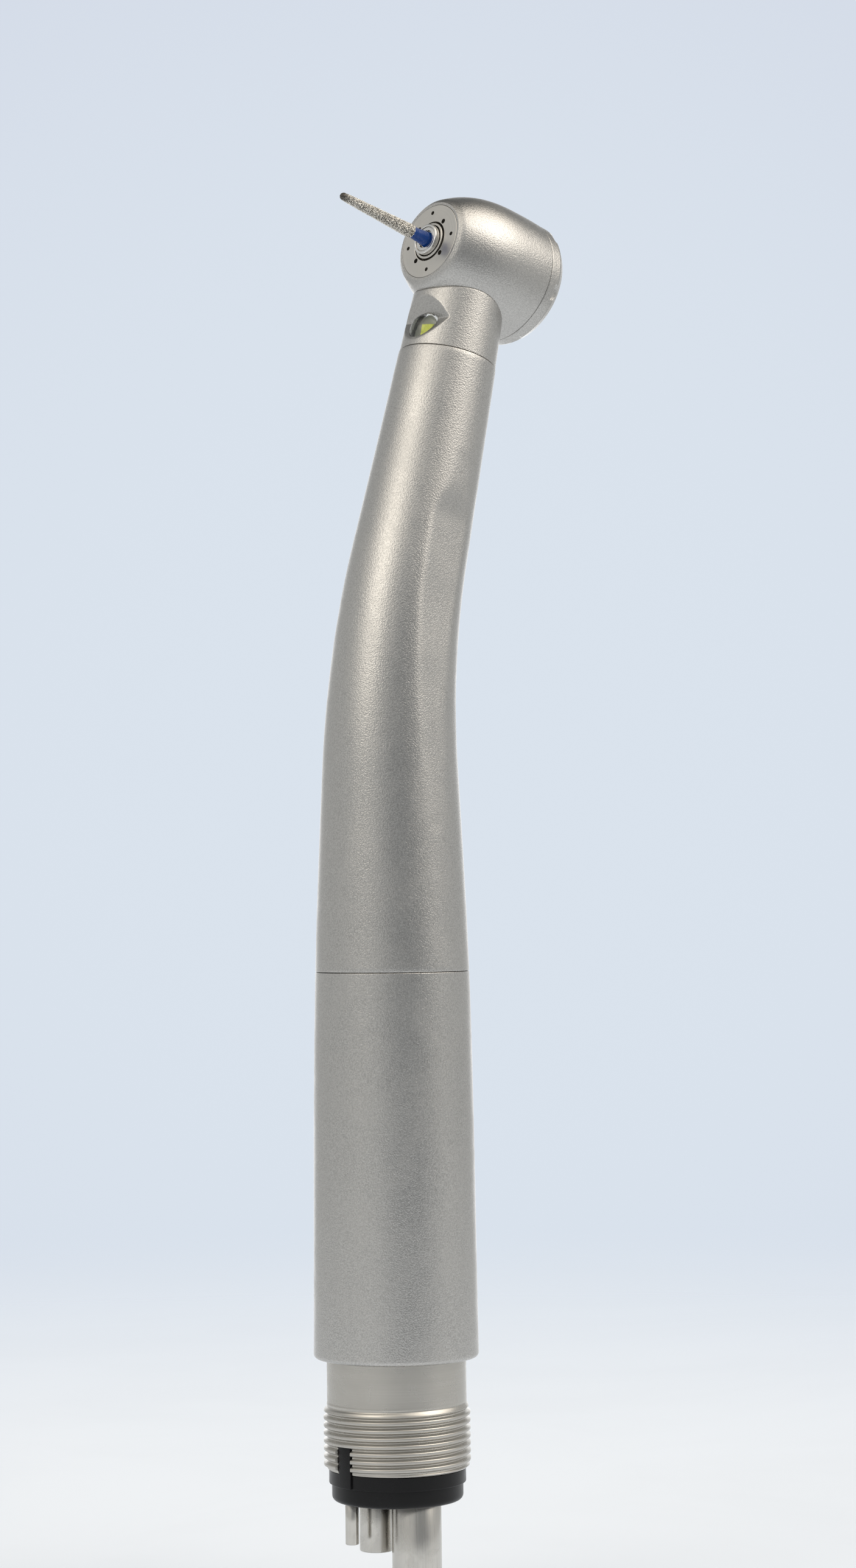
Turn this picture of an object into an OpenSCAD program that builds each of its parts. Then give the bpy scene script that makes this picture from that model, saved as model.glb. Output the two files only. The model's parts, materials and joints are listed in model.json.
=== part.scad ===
// High speed dental handpiece with a diamond bur, a self-powered light and a threaded
// four-tube hose connector. Millimetres. +Z runs up the straight handle, the neck leans
// towards +X and the bur points towards -X. The origin is the centre of the rear face
// where the hose coupling seats.

/* [Handle] */
// Radius of the handle at its rear rim
rim_r = 7.4; // [7:0.1:7.8]
// Height of the rear rim above the rear seat face
rim_z = 12.7; // [12.5:0.1:13]
// Length from the rear rim to the seam between the two body shells
rear_shell_l = 34.5; // [33:0.5:36]
// Length of the straight handle, from the rear rim to the start of the bend
straight_l = 52.6; // [50:0.5:55]
// Radius of the bend, on the centre line
bend_r = 73.8; // [70:1:80]
// Angle between the neck and the handle
neck_tilt = 15.2; // [12:0.2:18]
// Length of the straight neck, from the bend to the axis of the head
neck_l = 28.95; // [28:0.5:30]

/* [Head] */
// Largest radius of the head
head_r = 5.97; // [5.9:0.05:6.2]
// Radius of the head at its face
face_r = 3.95; // [3.9:0.05:4]
// Distance from the neck axis to the face
face_h = 4.84; // [4.8:0.02:4.9]
// Distance from the face to the joint of the back cap
cap_joint_u = 10.2; // [10:0.1:10.3]
// Distance from the face to the back of the cap
cap_back_u = 12.2; // [12.1:0.05:12.3]
// Travel of the push button
button_travel = 0.6; // [0.3:0.1:0.6]

/* [Turbine] */
// Radius of the rotor blades
blade_tip_r = 4.1; // [3.8:0.1:4.2]
// Number of rotor blades
blade_count = 10; // [8:1:12]
// Number of balls in each bearing
ball_count = 7; // [6:1:8]
// Radius of a bearing's outer ring
bearing_r = 3.175; // [3.1:0.025:3.2]

/* [Bur] */
// Radius of the bur's shank
shank_r = 0.8; // [0.79:0.01:0.8]
// How far the bur's tip stands out of the face
bur_out = 11.1; // [9:0.1:12]
// Length of the diamond coating
coat_l = 8.8; // [7:0.1:9]
// Radius of the coating at its thick end
coat_r = 0.69; // [0.6:0.01:0.75]
// Radius of the rounded tip
tip_r = 0.38; // [0.3:0.01:0.45]

/* [Connector] */
// Crest radius of the connector thread
thread_r = 6.58; // [6.5:0.01:6.6]
// Pitch of the connector thread
thread_pitch = 0.685; // [0.65:0.005:0.7]
// Radius of the plain neck above the thread
relief_r = 6.25; // [6.2:0.01:6.3]
// Radius of the black tube seat
seat_r = 5.88; // [5.8:0.01:5.9]
// Turn of the tube pattern about the handle axis
tube_turn = -78; // [-90:1:-60]
// How far the exhaust tube stands out of the seat
exhaust_out = 10.5; // [9:0.5:12]

/* [Hidden] */
$fn = 96;

// Heights on the handle axis
thread_z0 = 2.85;
thread_z1 = 8.9;
slot_w = 1.6;
slot_top_z = 5.35;
flange_z = 1.6;
seam_z = rim_z + rear_shell_l;
bend_z = rim_z + straight_l;
spigot_l = 3;
connector_top = 19;

// Centre line of the neck: the end of the bend, and where it crosses the head axis
bend_end = [bend_r * (1 - cos(neck_tilt)), 0, bend_z + bend_r * sin(neck_tilt)];
head_at = bend_end + neck_l * [sin(neck_tilt), 0, cos(neck_tilt)];

// Distances along the centre line from the rear rim, and the body's radius at each
collar_q = -10;
bend_l = bend_r * neck_tilt * PI / 180;
front_end_s = straight_l + bend_l + neck_l + collar_q;
knot_s = [0, rear_shell_l, 62, 80, front_end_s];
knot_r = [rim_r, 6.92, 5.67, 4.95, 4.53];
wall = 0.78;

// Half-angle of the soft flat on each side of the body, at distances along the centre line
flat_angles = [[48, 0], [55, 12], [62, 18], [69, 23.4], [75.5, 24.6], [80, 7.3], [81.5, 0]];

// Places along the head axis, which runs from the neck axis (0) towards the bur (+)
cap_joint_h = face_h - cap_joint_u;
cap_back_h = face_h - cap_back_u;
plate_t = 0.9;
web_h = 3.1;
front_bearing_h = 0.7;
bearing_w = 2.38;
rear_bearing_h = -5.1;
web_back_h = -5.42;
chamber_h0 = -2.7;
chamber_r = 4.45;
seat_bore_r = 3.65;
nose_h = 0.6;
opening_r = 1.9;
collar_r = 1.45;
spindle_r = 1.58;
spindle_h0 = -5.38;
collet_r = 1.18;
button_r = 3.85;
plate_r = 3.53;
plunger_r = 0.72;
spray_turn = 6.5;
spray_far = [2.83, 0.19];
spray_near = [2.23, 0.235];
bur_tip_h = face_h + bur_out;
coat_h = bur_tip_h - coat_l;
bur_end_h = bur_tip_h - 19;

// Bearing section
ball_r = 0.5;
pitch_r = 2.385;
inner_ring_r = 2.05;
outer_ring_in = 2.72;
groove_r = 0.52;

// Tubes in the connector: [distance along the pattern, distance across it, outer, inner]
exhaust_at = [2.05, 0];
drive_at = [-2.39, 0];
water_at = [-2.5, 3.53];
chip_at = [-2.5, -3.53];
exhaust_r = 2.22;
drive_r = 1.55;
small_r = 0.6;
small_tube_wall = 0.22;
drive_out = 4.8;
small_out = 3.75;
tube_wall = 0.3;
tube_top = 15.5;
TUBES = [[exhaust_at, exhaust_r], [drive_at, drive_r], [water_at, small_r], [chip_at, small_r]];
tube_free_z = -0.1;
pressed_more = 0.17;
tube_hole_gap = 0.01;

// Inner lines: [x, y] in the rear shell, and [x, y] in the front shell and the neck
drive_rear = [3.0, 1.6];
water_rear = [0.2, 3.9];
chip_rear = [3.6, -2.6];
drive_front = [1.3, 1.35];
water_front = [-1.2, 1.15];
chip_front = [-1.2, -1.15];
line_r = 1.15;
thin_line_r = 0.55;
stub_r = 2.9;
stub_x = 0.45;
stub_q = -6.2;
wire_x = -2.1;
junction_z0 = 41.5;
junction_z1 = 43.9;

// Generator
gen_at = [-2.4, -1.6, 0];
gen_r = 2.9;
gen_z0 = 23;
gen_z1 = 40;
gen_shaft_r = 0.5;

// Light recess in the collar, in the neck frame
valley_x = -3.2;
valley_q = -7.15;
recess_top_q = -4.95;
recess_low_q = -9.5;
lens_q = -8.2;
lens_r = 1.5;

// ---- frames and shared shapes ----

// Puts children in the head's frame: +Z towards the bur, +X away from the handle
module at_head() translate(head_at) rotate([0, neck_tilt - 90, 0]) children();

// Puts children in the neck's frame: +Z up the neck, -X on the side of the bur
module at_neck() translate(head_at) rotate([0, neck_tilt, 0]) children();

// Puts children in the frame of the connector's tube pattern
module at_tubes(at) rotate([0, 0, tube_turn]) translate([at[0], at[1], 0]) children();

module ring(r_out, r_in, z0, z1) difference() {
    translate([0, 0, z0]) cylinder(r = r_out, h = z1 - z0);
    translate([0, 0, z0 - 1]) cylinder(r = r_in, h = z1 - z0 + 2);
}

module o_ring(major, minor, z) translate([0, 0, z]) rotate_extrude()
    translate([major, 0]) circle(r = minor, $fn = 32);

// A straight drilling from one point to another
module drilling(from, to, r) {
    d = to - from;
    translate(from) rotate([0, acos(d[2] / norm(d)), atan2(d[1], d[0])])
        cylinder(r = r, h = norm(d), $fn = 32);
}

// A rod that follows the centre line at an offset, from a height on the handle to a
// place on the neck
module bent_rod(at, r, z0, q1) {
    x = at[0];
    y = at[1];
    translate([x, y, z0]) cylinder(r = r, h = bend_z - z0, $fn = 48);
    translate([bend_r, 0, bend_z]) rotate([90, 0, 0]) mirror([1, 0, 0])
        rotate_extrude(angle = neck_tilt, $fn = 96) translate([bend_r - x, -y])
            circle(r = r, $fn = 48);
    at_neck() translate([x, y, -neck_l]) cylinder(r = r, h = neck_l + q1, $fn = 48);
}

// A pipe in two lengths: one in the rear shell and one in the front shell and neck
module two_part_line(rear, front, r, z0) difference() {
    union() {
        translate([rear[0], rear[1], z0]) cylinder(r = r, h = junction_z0 + 0.8 - z0);
        bent_rod(front, r, junction_z1 - 0.8, stub_q - 0.05);
    }
    translate([rear[0], rear[1], z0 - 1])
        cylinder(r = r - tube_wall / 2 - 0.05, h = junction_z0 + 2 - z0);
    bent_rod(front, r - tube_wall / 2 - 0.05, junction_z1 - 1, stub_q + 0.1);
}

// ---- the swept body ----

function slope(i) =
    i == 0 ? (knot_r[1] - knot_r[0]) / (knot_s[1] - knot_s[0]) :
    i == len(knot_s) - 1 ? (knot_r[i] - knot_r[i - 1]) / (knot_s[i] - knot_s[i - 1]) :
    ((knot_r[i] - knot_r[i - 1]) / (knot_s[i] - knot_s[i - 1])
        + (knot_r[i + 1] - knot_r[i]) / (knot_s[i + 1] - knot_s[i])) / 2;

function piece_r(i, s) =
    let (w = knot_s[i + 1] - knot_s[i], t = (s - knot_s[i]) / w)
    (2 * t^3 - 3 * t^2 + 1) * knot_r[i] + (t^3 - 2 * t^2 + t) * w * slope(i)
        + (3 * t^2 - 2 * t^3) * knot_r[i + 1] + (t^3 - t^2) * w * slope(i + 1);

// Outer radius of the body at a distance along the centre line
function body_r(s) =
    s < knot_s[1] ? piece_r(0, s) : s < knot_s[2] ? piece_r(1, s)
    : s < knot_s[3] ? piece_r(2, s) : piece_r(3, s);

// Centre and lean of the centre line at a distance along it
function lean(s) = max(0, min(neck_tilt, (s - straight_l) / bend_r * 180 / PI));
function centre(s) =
    s <= straight_l ? [0, 0, rim_z + s] :
    s <= straight_l + bend_l ?
        [bend_r * (1 - cos(lean(s))), 0, bend_z + bend_r * sin(lean(s))] :
    bend_end + (s - straight_l - bend_l) * [sin(neck_tilt), 0, cos(neck_tilt)];

// One ring of points square to the centre line, cut back to the two side flats
function hoop(s, r, sides) = [for (i = [0:sides - 1])
    let (a = 360 * i / sides, n = r * cos(a), y_max = r * cos(lookup(s, flat_angles)))
    centre(s) + [n * cos(lean(s)), max(-y_max, min(y_max, r * sin(a))), -n * sin(lean(s))]];

// A closed tube through a loop of [s, r] stations: up the outside, down the inside
module swept_tube(stations, sides = 48) {
    count = len(stations);
    points = [for (p = stations) each hoop(p[0], p[1], sides)];
    faces = [for (j = [0:count - 1], i = [0:sides - 1])
        let (j2 = (j + 1) % count, i2 = (i + 1) % sides)
        [j * sides + i, j2 * sides + i, j2 * sides + i2, j * sides + i2]];
    polyhedron(points, faces, convexity = 6);
}

// ---- connector ----

module threaded_connector() color([0.62, 0.61, 0.58]) {
    turns = floor((thread_z1 - thread_z0) / thread_pitch);
    land = thread_pitch * 0.3;
    difference() {
        rotate_extrude() polygon([
            [5.6, thread_z0], [thread_r - 0.35, thread_z0],
            for (i = [0:turns - 1]) let (z = thread_z0 + 0.2 + i * thread_pitch)
                each [[thread_r, z], [thread_r, z + land],
                      [relief_r - 0.02, z + thread_pitch * 0.6],
                      [relief_r - 0.02, z + thread_pitch * 0.7]],
            [relief_r, thread_z1], [relief_r, connector_top - 2.5],
            [5.82, connector_top - 2.5], [5.82, connector_top - 1.9],
            [relief_r, connector_top - 1.9], [relief_r, connector_top],
            [5.6, connector_top]]);
        translate([-thread_r - 1, -slot_w / 2, thread_z0 - 1])
            cube([3, slot_w, slot_top_z - thread_z0 + 1]);
    }
}

// The hole for the pressed length of a tube, from a height
module tube_hole(tube, z, h) at_tubes(tube[0]) translate([0, 0, z])
    cylinder(r = tube[1] + pressed_more + tube_hole_gap, h = h);

module tube_seat() color([0.03, 0.03, 0.03]) difference() {
    union() {
        rotate_extrude() {
            translate([0, 0.5]) square([seat_r, flange_z - 0.5]);
            square([seat_r - 0.5, 1]);
            intersection() {
                translate([seat_r - 0.5, 0.5]) circle(r = 0.5, $fn = 32);
                square([seat_r, 1]);
            }
            translate([0, flange_z]) square([seat_r + 0.25, thread_z0 - flange_z]);
            square([5.56, 7.5]);
        }
        translate([-6.3, 0.04 - slot_w / 2, flange_z])
            cube([2, slot_w - 0.08, slot_top_z - 0.05 - flange_z]);
        at_tubes(exhaust_at) translate([0, 0, -0.2]) cylinder(r = exhaust_r + 0.45, h = 1);
        at_tubes(drive_at) translate([0, 0, -0.15]) cylinder(r = drive_r + 0.4, h = 1);
    }
    for (t = TUBES) tube_hole(t, -1, 12);
}

// A hose tube: its free end, and a thicker length pressed into the seat and the manifold
module connector_tube(at, r, bore, out) color([0.7, 0.69, 0.66]) at_tubes(at) difference() {
    union() {
        translate([0, 0, -out]) cylinder(r = r, h = out + tube_free_z);
        translate([0, 0, tube_free_z])
            cylinder(r = r + pressed_more, h = tube_top - tube_free_z);
    }
    translate([0, 0, -out - 1]) cylinder(r = bore, h = out + tube_top + 2);
}

module exhaust_tube() connector_tube(exhaust_at, exhaust_r, exhaust_r - tube_wall, exhaust_out);
module drive_air_tube() connector_tube(drive_at, drive_r, drive_r - tube_wall, drive_out);
module water_tube() connector_tube(water_at, small_r, small_r - small_tube_wall, small_out);
module chip_air_tube() connector_tube(chip_at, small_r, small_r - small_tube_wall, small_out);

module connector_o_ring() color([0.08, 0.08, 0.08])
    o_ring(relief_r - 0.2, 0.21, connector_top - 2.2);

// Where a tube of the pattern reaches the manifold
function turned(at) = [at[0] * cos(tube_turn) - at[1] * sin(tube_turn),
    at[0] * sin(tube_turn) + at[1] * cos(tube_turn), tube_top - 0.2];

// Block in the connector that leads each connector tube to its inner line
module line_manifold() color([0.66, 0.66, 0.68]) {
    top = connector_top - 0.3;
    bottom = tube_top - 1;
    difference() {
        translate([0, 0, bottom]) cylinder(r = 5.45, h = top - bottom);
        tube_hole(TUBES[0], bottom - 1, 12);
        for (t = TUBES) tube_hole(t, bottom - 1, 2);
        for (p = [[drive_rear, line_r], [water_rear, thin_line_r], [chip_rear, thin_line_r]])
            translate([p[0][0], p[0][1], top - 0.8]) cylinder(r = p[1] + 0.01, h = 2);
        drilling(turned(drive_at), [drive_rear[0], drive_rear[1], top - 0.6], 0.6);
        drilling(turned(water_at), [water_rear[0], water_rear[1], top - 0.6], 0.25);
    }
}

// ---- body ----

module rear_body_shell() color([0.66, 0.64, 0.61]) difference() {
    rotate_extrude() polygon([
        [6, rim_z], [rim_r - 0.35, rim_z],
        for (a = [-75:15:0]) [rim_r - 0.35 + 0.35 * cos(a), rim_z + 0.35 + 0.35 * sin(a)],
        for (s = [4:3.05:rear_shell_l - 0.5]) [body_r(s), rim_z + s],
        [body_r(rear_shell_l), seam_z], [6, seam_z]]);
    translate([0, 0, rim_z - 1]) cylinder(r = relief_r + 0.02, h = connector_top - rim_z + 1.3);
    translate([0, 0, rim_z]) cylinder(r = 6.1, h = rear_shell_l + 1);
}

module front_body_shell() color([0.66, 0.64, 0.61]) {
    s0 = rear_shell_l;
    steps = 16;
    reach = front_end_s - s0;
    swept_tube([
        [s0 - spigot_l, 6.04], [s0 - 1.9, 6.04], [s0 - 1.9, 5.62], [s0 - 1.1, 5.62],
        [s0 - 1.1, 6.04], [s0 + 0.05, 6.04], [s0 + 0.05, body_r(s0) - 0.06],
        for (i = [0:steps]) [s0 + 0.1 + (reach - 0.15) * i / steps,
                             body_r(s0 + 0.1 + (reach - 0.15) * i / steps)],
        [front_end_s, body_r(front_end_s) - 0.06],
        [front_end_s, body_r(front_end_s) - wall],
        for (i = [steps:-1:0]) let (s = s0 + 4 + (reach - 5) * i / steps) [s, body_r(s) - wall],
        [s0 + 2, 5.3], [s0 - spigot_l, 5.3]]);
}

module body_seam_o_ring() color([0.08, 0.08, 0.08])
    o_ring(5.83, 0.2, seam_z - 1.5);

module seam_junction() color([0.66, 0.66, 0.68]) difference() {
    translate([0, 0, junction_z0]) cylinder(r = 6.05, h = junction_z1 - junction_z0);
    for (p = [[drive_rear, line_r], [water_rear, thin_line_r], [chip_rear, thin_line_r]])
        translate([p[0][0], p[0][1], junction_z0 - 1]) cylinder(r = p[1] + 0.01, h = 1.85);
    for (p = [[drive_front, line_r], [water_front, thin_line_r], [chip_front, thin_line_r]])
        translate([p[0][0], p[0][1], junction_z1 - 0.85]) cylinder(r = p[1] + 0.01, h = 2);
    translate([-0.5, -4.2, junction_z0 - 1]) cylinder(r = 1.3, h = 5);
    for (y = [-0.5, 0.5]) translate([wire_x, y, junction_z0 - 1]) cylinder(r = 0.27, h = 5);
}

module drive_air_line() color([0.7, 0.69, 0.66])
    two_part_line(drive_rear, drive_front, line_r, connector_top - 1.05);
module water_line() color([0.7, 0.69, 0.66])
    two_part_line(water_rear, water_front, thin_line_r, connector_top - 1.05);
module chip_air_line() color([0.7, 0.69, 0.66])
    two_part_line(chip_rear, chip_front, thin_line_r, connector_top - 1.05);

module led_wires() color([0.75, 0.2, 0.12])
    for (y = [-0.5, 0.5]) bent_rod([wire_x, y], 0.2, gen_z1 + 0.1, lens_q - 1.15);

// ---- generator that powers the light ----

module generator_case() color([0.55, 0.56, 0.58]) translate(gen_at) difference() {
    union() {
        ring(gen_r, gen_r - 0.3, gen_z0, gen_z1 - 0.4);
        translate([0, 0, gen_z1 - 0.5]) cylinder(r = gen_r, h = 0.5);
    }
    for (a = [0:60:300]) rotate([0, 0, a]) translate([0, 0, gen_z0 + 3.1])
        rotate([0, 90, 0]) cylinder(r = 0.8, h = 5, $fn = 32);
}

module generator_coil() color([0.72, 0.42, 0.18]) translate(gen_at)
    ring(gen_r - 0.35, 1.75, 29.8, 37.4);

module generator_magnet() color([0.35, 0.35, 0.37]) translate(gen_at)
    ring(1.6, gen_shaft_r, 30.2, 37);

module generator_shaft() color([0.75, 0.75, 0.75]) translate(gen_at)
    translate([0, 0, gen_z0 + 0.6]) cylinder(r = gen_shaft_r - 0.01, h = 15.6);

module generator_impeller() color([0.9, 0.9, 0.88]) translate(gen_at)
    translate([0, 0, gen_z0 + 2.1]) {
        ring(1, gen_shaft_r, 0, 2.2);
        for (a = [0:45:315]) rotate([0, 0, a])
            translate([0.95, -0.12, 0]) cube([1.35, 0.24, 2.2]);
    }

// Two plain bearings, one at each end of the shaft, as separate rings
module generator_bearings() color([0.72, 0.6, 0.3]) translate(gen_at) {
    ring(gen_r - 0.32, gen_shaft_r + 0.03, gen_z0 + 0.8, gen_z0 + 1.7);
    ring(gen_r - 0.32, gen_shaft_r + 0.03, 38, 39);
}

// ---- light ----

module light_collar() color([0.66, 0.64, 0.61]) difference() {
    at_neck() {
        translate([0, 0, collar_q + 0.03]) cylinder(r1 = 4.47, r2 = 4.1, h = 9);
        translate([0, 0, collar_q - 2.5]) cylinder(r = 3.7, h = 3);
    }
    at_head() head_solid(0.02);
    at_neck() {
        translate([stub_x, 0, -20]) cylinder(r = stub_r + 0.02, h = 24);
        recess();
        translate([valley_x - 1.5, 0, lens_q]) rotate([0, 90, 0])
            cylinder(r = 1.2, h = 3, $fn = 48);
    }
}

// Two sloping planes that meet in a valley across the bur's side of the collar
module recess() rotate([90, 0, 0]) translate([0, 0, -5]) linear_extrude(10)
    polygon([[valley_x, valley_q], [-4.33, recess_top_q], [-4.33 - 1.13, recess_top_q + 2.2],
        [-7, valley_q], [-4.5 - 1.3, recess_low_q - 2.35], [-4.5, recess_low_q]]);

module light_lens() color([0.85, 0.88, 0.9, 0.5]) at_neck() {
    intersection() {
        translate([valley_x + 0.45, 0, lens_q]) sphere(r = lens_r, $fn = 64);
        translate([-6, -3, lens_q - 3]) cube([2.5, 6, 6]);
        rotate([90, 0, 0]) translate([0, 0, -3]) linear_extrude(6)
            polygon([[valley_x - 0.02, valley_q], [-4.33, recess_top_q], [-7, valley_q],
                [-4.52, recess_low_q]]);
    }
    translate([-3.75, 0, lens_q]) rotate([0, 90, 0]) cylinder(r = 1.17, h = 0.75, $fn = 48);
}

module led_chip() color([0.9, 0.9, 0.35]) at_neck()
    translate([-2.98, -0.5, lens_q - 0.5]) cube([0.3, 1, 1]);

module led_board() color([0.12, 0.35, 0.2]) at_neck()
    translate([-2.67, 0, lens_q]) rotate([0, 90, 0]) cylinder(r = 1.1, h = 0.4, $fn = 48);

// ---- head ----

// Outer radius of the head at a distance behind the face
head_belly_u = 7.5;
function head_at_u(u) = head_r - (head_r - face_r)
    * pow(max(0, (head_belly_u - u) / head_belly_u), 2.65);

// The head's outer form, filled in; grown by a gap where another piece fits round it
module head_solid(gap = 0) rotate_extrude() polygon([
    [0, face_h + gap],
    for (u = [0:0.5:head_belly_u]) [head_at_u(u) + gap, face_h - u],
    [head_r + gap, face_h - 8.8], [head_r - 0.05 + gap, cap_joint_h], [0, cap_joint_h]]);

module head_housing() color([0.66, 0.64, 0.61]) difference() {
    union() {
        at_head() head_solid();
        at_neck() translate([stub_x, 0, stub_q]) cylinder(r = stub_r, h = 3);
    }
    at_head() {
        translate([0, 0, face_h - plate_t]) cylinder(r = plate_r + 0.02, h = 5);
        ring(3.3, 2.62, web_h + 0.45, 4.2);
        translate([0, 0, web_h - 1]) cylinder(r = 2.62, h = 3);
        translate([0, 0, front_bearing_h - 0.1])
            cylinder(r = seat_bore_r, h = web_h - front_bearing_h + 0.1);
        translate([0, 0, cap_joint_h - 1])
            cylinder(r = chamber_r, h = front_bearing_h - 0.1 - cap_joint_h + 1);
    }
    at_neck() {
        translate([drive_front[0], drive_front[1], -9])
            cylinder(r = line_r - tube_wall / 2 - 0.05, h = 6);
        translate([drive_front[0], -1.25, -9]) cylinder(r = 1, h = 6);
    }
    for (y = [water_front[1], chip_front[1]]) at_neck() {
        drilling([water_front[0], y, stub_q - 1], [water_front[0], y, -4.9], 0.3);
        drilling([water_front[0], y, -5], [-3.75, 0.8 * y, -2.9], 0.25);
    }
}

module face_plate() color([0.72, 0.71, 0.68]) at_head() difference() {
    translate([0, 0, face_h - plate_t]) cylinder(r = plate_r, h = plate_t);
    translate([0, 0, face_h - 2]) cylinder(r = opening_r, h = 4);
    for (i = [0:3]) {
        rotate([0, 0, spray_turn + 90 * i]) translate([spray_far[0], 0, face_h - 2])
            cylinder(r = spray_far[1], h = 4, $fn = 32);
        rotate([0, 0, spray_turn + 45 + 90 * i]) translate([spray_near[0], 0, face_h - 2])
            cylinder(r = spray_near[1], h = 4, $fn = 32);
    }
}

module nose_bushing() color([0.75, 0.74, 0.72]) at_head() {
    ring(1.74, collar_r + 0.06, web_h + 0.4, face_h + 0.12);
    ring(2.6, collar_r + 0.06, web_h + 0.1, web_h + 0.41);
}

// Screws into the back of the head, holds the rear bearing and keeps the button in
module back_cap() color([0.66, 0.64, 0.61]) at_head() difference() {
    rotate_extrude() polygon([
        [1.15, web_back_h], [seat_bore_r, web_back_h], [seat_bore_r, chamber_h0],
        [chamber_r - 0.07, chamber_h0], [chamber_r - 0.07, cap_joint_h - 0.01],
        [head_r - 0.06, cap_joint_h - 0.01], [head_r - 0.04, cap_joint_h - 0.5],
        for (a = [0:15:90]) [head_r - 0.84 + 0.78 * cos(a), cap_back_h + 0.98 - 0.98 * sin(a)],
        [button_r + 0.06, cap_back_h], [button_r + 0.06, cap_back_h + 0.36],
        [4.25, cap_back_h + 0.36], [4.25, web_back_h - 0.33], [1.15, web_back_h - 0.33]]);
    for (i = [0:5]) rotate([0, 0, 60 * i + 15]) translate([head_r + 1.15, 0, cap_back_h - 0.5])
        cylinder(r = 1.5, h = 1.7, $fn = 48);
}

module push_button() color([0.7, 0.69, 0.66]) at_head() rotate_extrude() polygon([
    [0, cap_back_h + 0.7], [4.1, cap_back_h + 0.7], [4.1, cap_back_h + 0.38],
    [button_r, cap_back_h + 0.38], [button_r, cap_back_h - 0.02],
    for (a = [0:15:90]) [3.65 * cos(a), cap_back_h - 0.12 - 0.25 * sin(a)]]);

module button_spring() color([0.72, 0.72, 0.72]) at_head()
    ring(3.5, 2.5, cap_back_h + 1.37, cap_back_h + 1.59);

module release_plunger() color([0.6, 0.6, 0.62]) at_head()
    translate([0, 0, cap_back_h + 0.71]) cylinder(r = plunger_r, h = 1, $fn = 48);

// ---- turbine ----

module spindle() color([0.72, 0.72, 0.72]) at_head() difference() {
    rotate_extrude() polygon([[0, spindle_h0], [spindle_r, spindle_h0], [spindle_r, web_h],
        [collar_r, web_h], [collar_r, face_h + nose_h - 0.3],
        for (a = [0:15:75]) [collar_r - 0.3 + 0.3 * cos(a), face_h + nose_h - 0.3 + 0.3 * sin(a)],
        [0, face_h + nose_h]]);
    translate([0, 0, -4.9]) cylinder(r = collet_r + 0.02, h = 9.5);
    translate([0, 0, -6]) cylinder(r = 0.8, h = 3, $fn = 48);
    translate([0, 0, 4]) cylinder(r = shank_r + 0.05, h = 3, $fn = 48);
}

module chuck_collet() color([0.6, 0.6, 0.62]) at_head() difference() {
    translate([0, 0, -3.3]) cylinder(r = collet_r, h = 7.8, $fn = 48);
    translate([0, 0, -4]) cylinder(r = shank_r + 0.015, h = 10, $fn = 48);
    for (i = [0:2]) rotate([0, 0, 120 * i]) translate([0, -0.08, 0]) cube([2, 0.16, 6]);
}

module chuck_push_pin() color([0.65, 0.65, 0.65]) at_head() {
    translate([0, 0, -5.5]) cylinder(r = 0.75, h = 1.3, $fn = 48);
    translate([0, 0, -4.88]) cylinder(r = 1.12, h = 0.6, $fn = 48);
}

module rotor_impeller() color([0.7, 0.68, 0.64]) at_head() {
    ring(2.2, spindle_r, -2.45, 0.5);
    ring(3, 2.1, -1.15, -0.85);
    for (i = [0:blade_count - 1]) rotate([0, 0, 360 * i / blade_count])
        translate([0, 0, -2.4]) linear_extrude(2.85) polygon([
            for (t = [0:0.2:1]) [2.1 + (blade_tip_r - 2.1) * t, 0.7 * t * t - 0.1],
            for (t = [1:-0.2:0]) [2.1 + (blade_tip_r - 2.1) * t, 0.7 * t * t + 0.2]]);
}

// ---- ball bearings, each given by the middle of its width ----

front_mid = front_bearing_h + bearing_w / 2;
rear_mid = rear_bearing_h + bearing_w / 2;

module inner_ring(mid) color([0.75, 0.75, 0.76]) at_head() difference() {
    ring(inner_ring_r, spindle_r, mid - bearing_w / 2, mid + bearing_w / 2);
    o_ring(pitch_r, groove_r, mid);
}

module outer_ring(mid) color([0.75, 0.75, 0.76]) at_head() difference() {
    ring(bearing_r, outer_ring_in, mid - bearing_w / 2, mid + bearing_w / 2);
    o_ring(pitch_r, groove_r, mid);
}

module at_balls(mid) at_head() for (i = [0:ball_count - 1])
    rotate([0, 0, 360 * i / ball_count]) translate([pitch_r, 0, mid]) children();

module balls(mid) color([0.85, 0.85, 0.83]) at_balls(mid) sphere(r = ball_r, $fn = 48);

module ball_cage(mid) color([0.72, 0.58, 0.35]) difference() {
    at_head() ring(2.58, 2.19, mid - 0.85, mid + 0.85);
    at_balls(mid) rotate([0, 90, 0]) translate([0, 0, -1])
        cylinder(r = groove_r + 0.02, h = 2, $fn = 32);
}

module front_inner_ring() inner_ring(front_mid);
module front_outer_ring() outer_ring(front_mid);
module front_balls() balls(front_mid);
module front_ball_cage() ball_cage(front_mid);
module front_o_ring() color([0.08, 0.08, 0.08]) at_head() o_ring(3.41, 0.22, front_mid);
module rear_inner_ring() inner_ring(rear_mid);
module rear_outer_ring() outer_ring(rear_mid);
module rear_balls() balls(rear_mid);
module rear_ball_cage() ball_cage(rear_mid);
module rear_o_ring() color([0.08, 0.08, 0.08]) at_head() o_ring(3.41, 0.22, rear_mid);
module wave_washer() color([0.7, 0.7, 0.7]) at_head() ring(3.6, 2.6, -5.4, -5.12);

// ---- bur ----

module bur_shank() color([0.72, 0.72, 0.72]) at_head()
    translate([0, 0, bur_end_h]) cylinder(r = shank_r, h = face_h + 0.3 - bur_end_h, $fn = 64);

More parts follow.
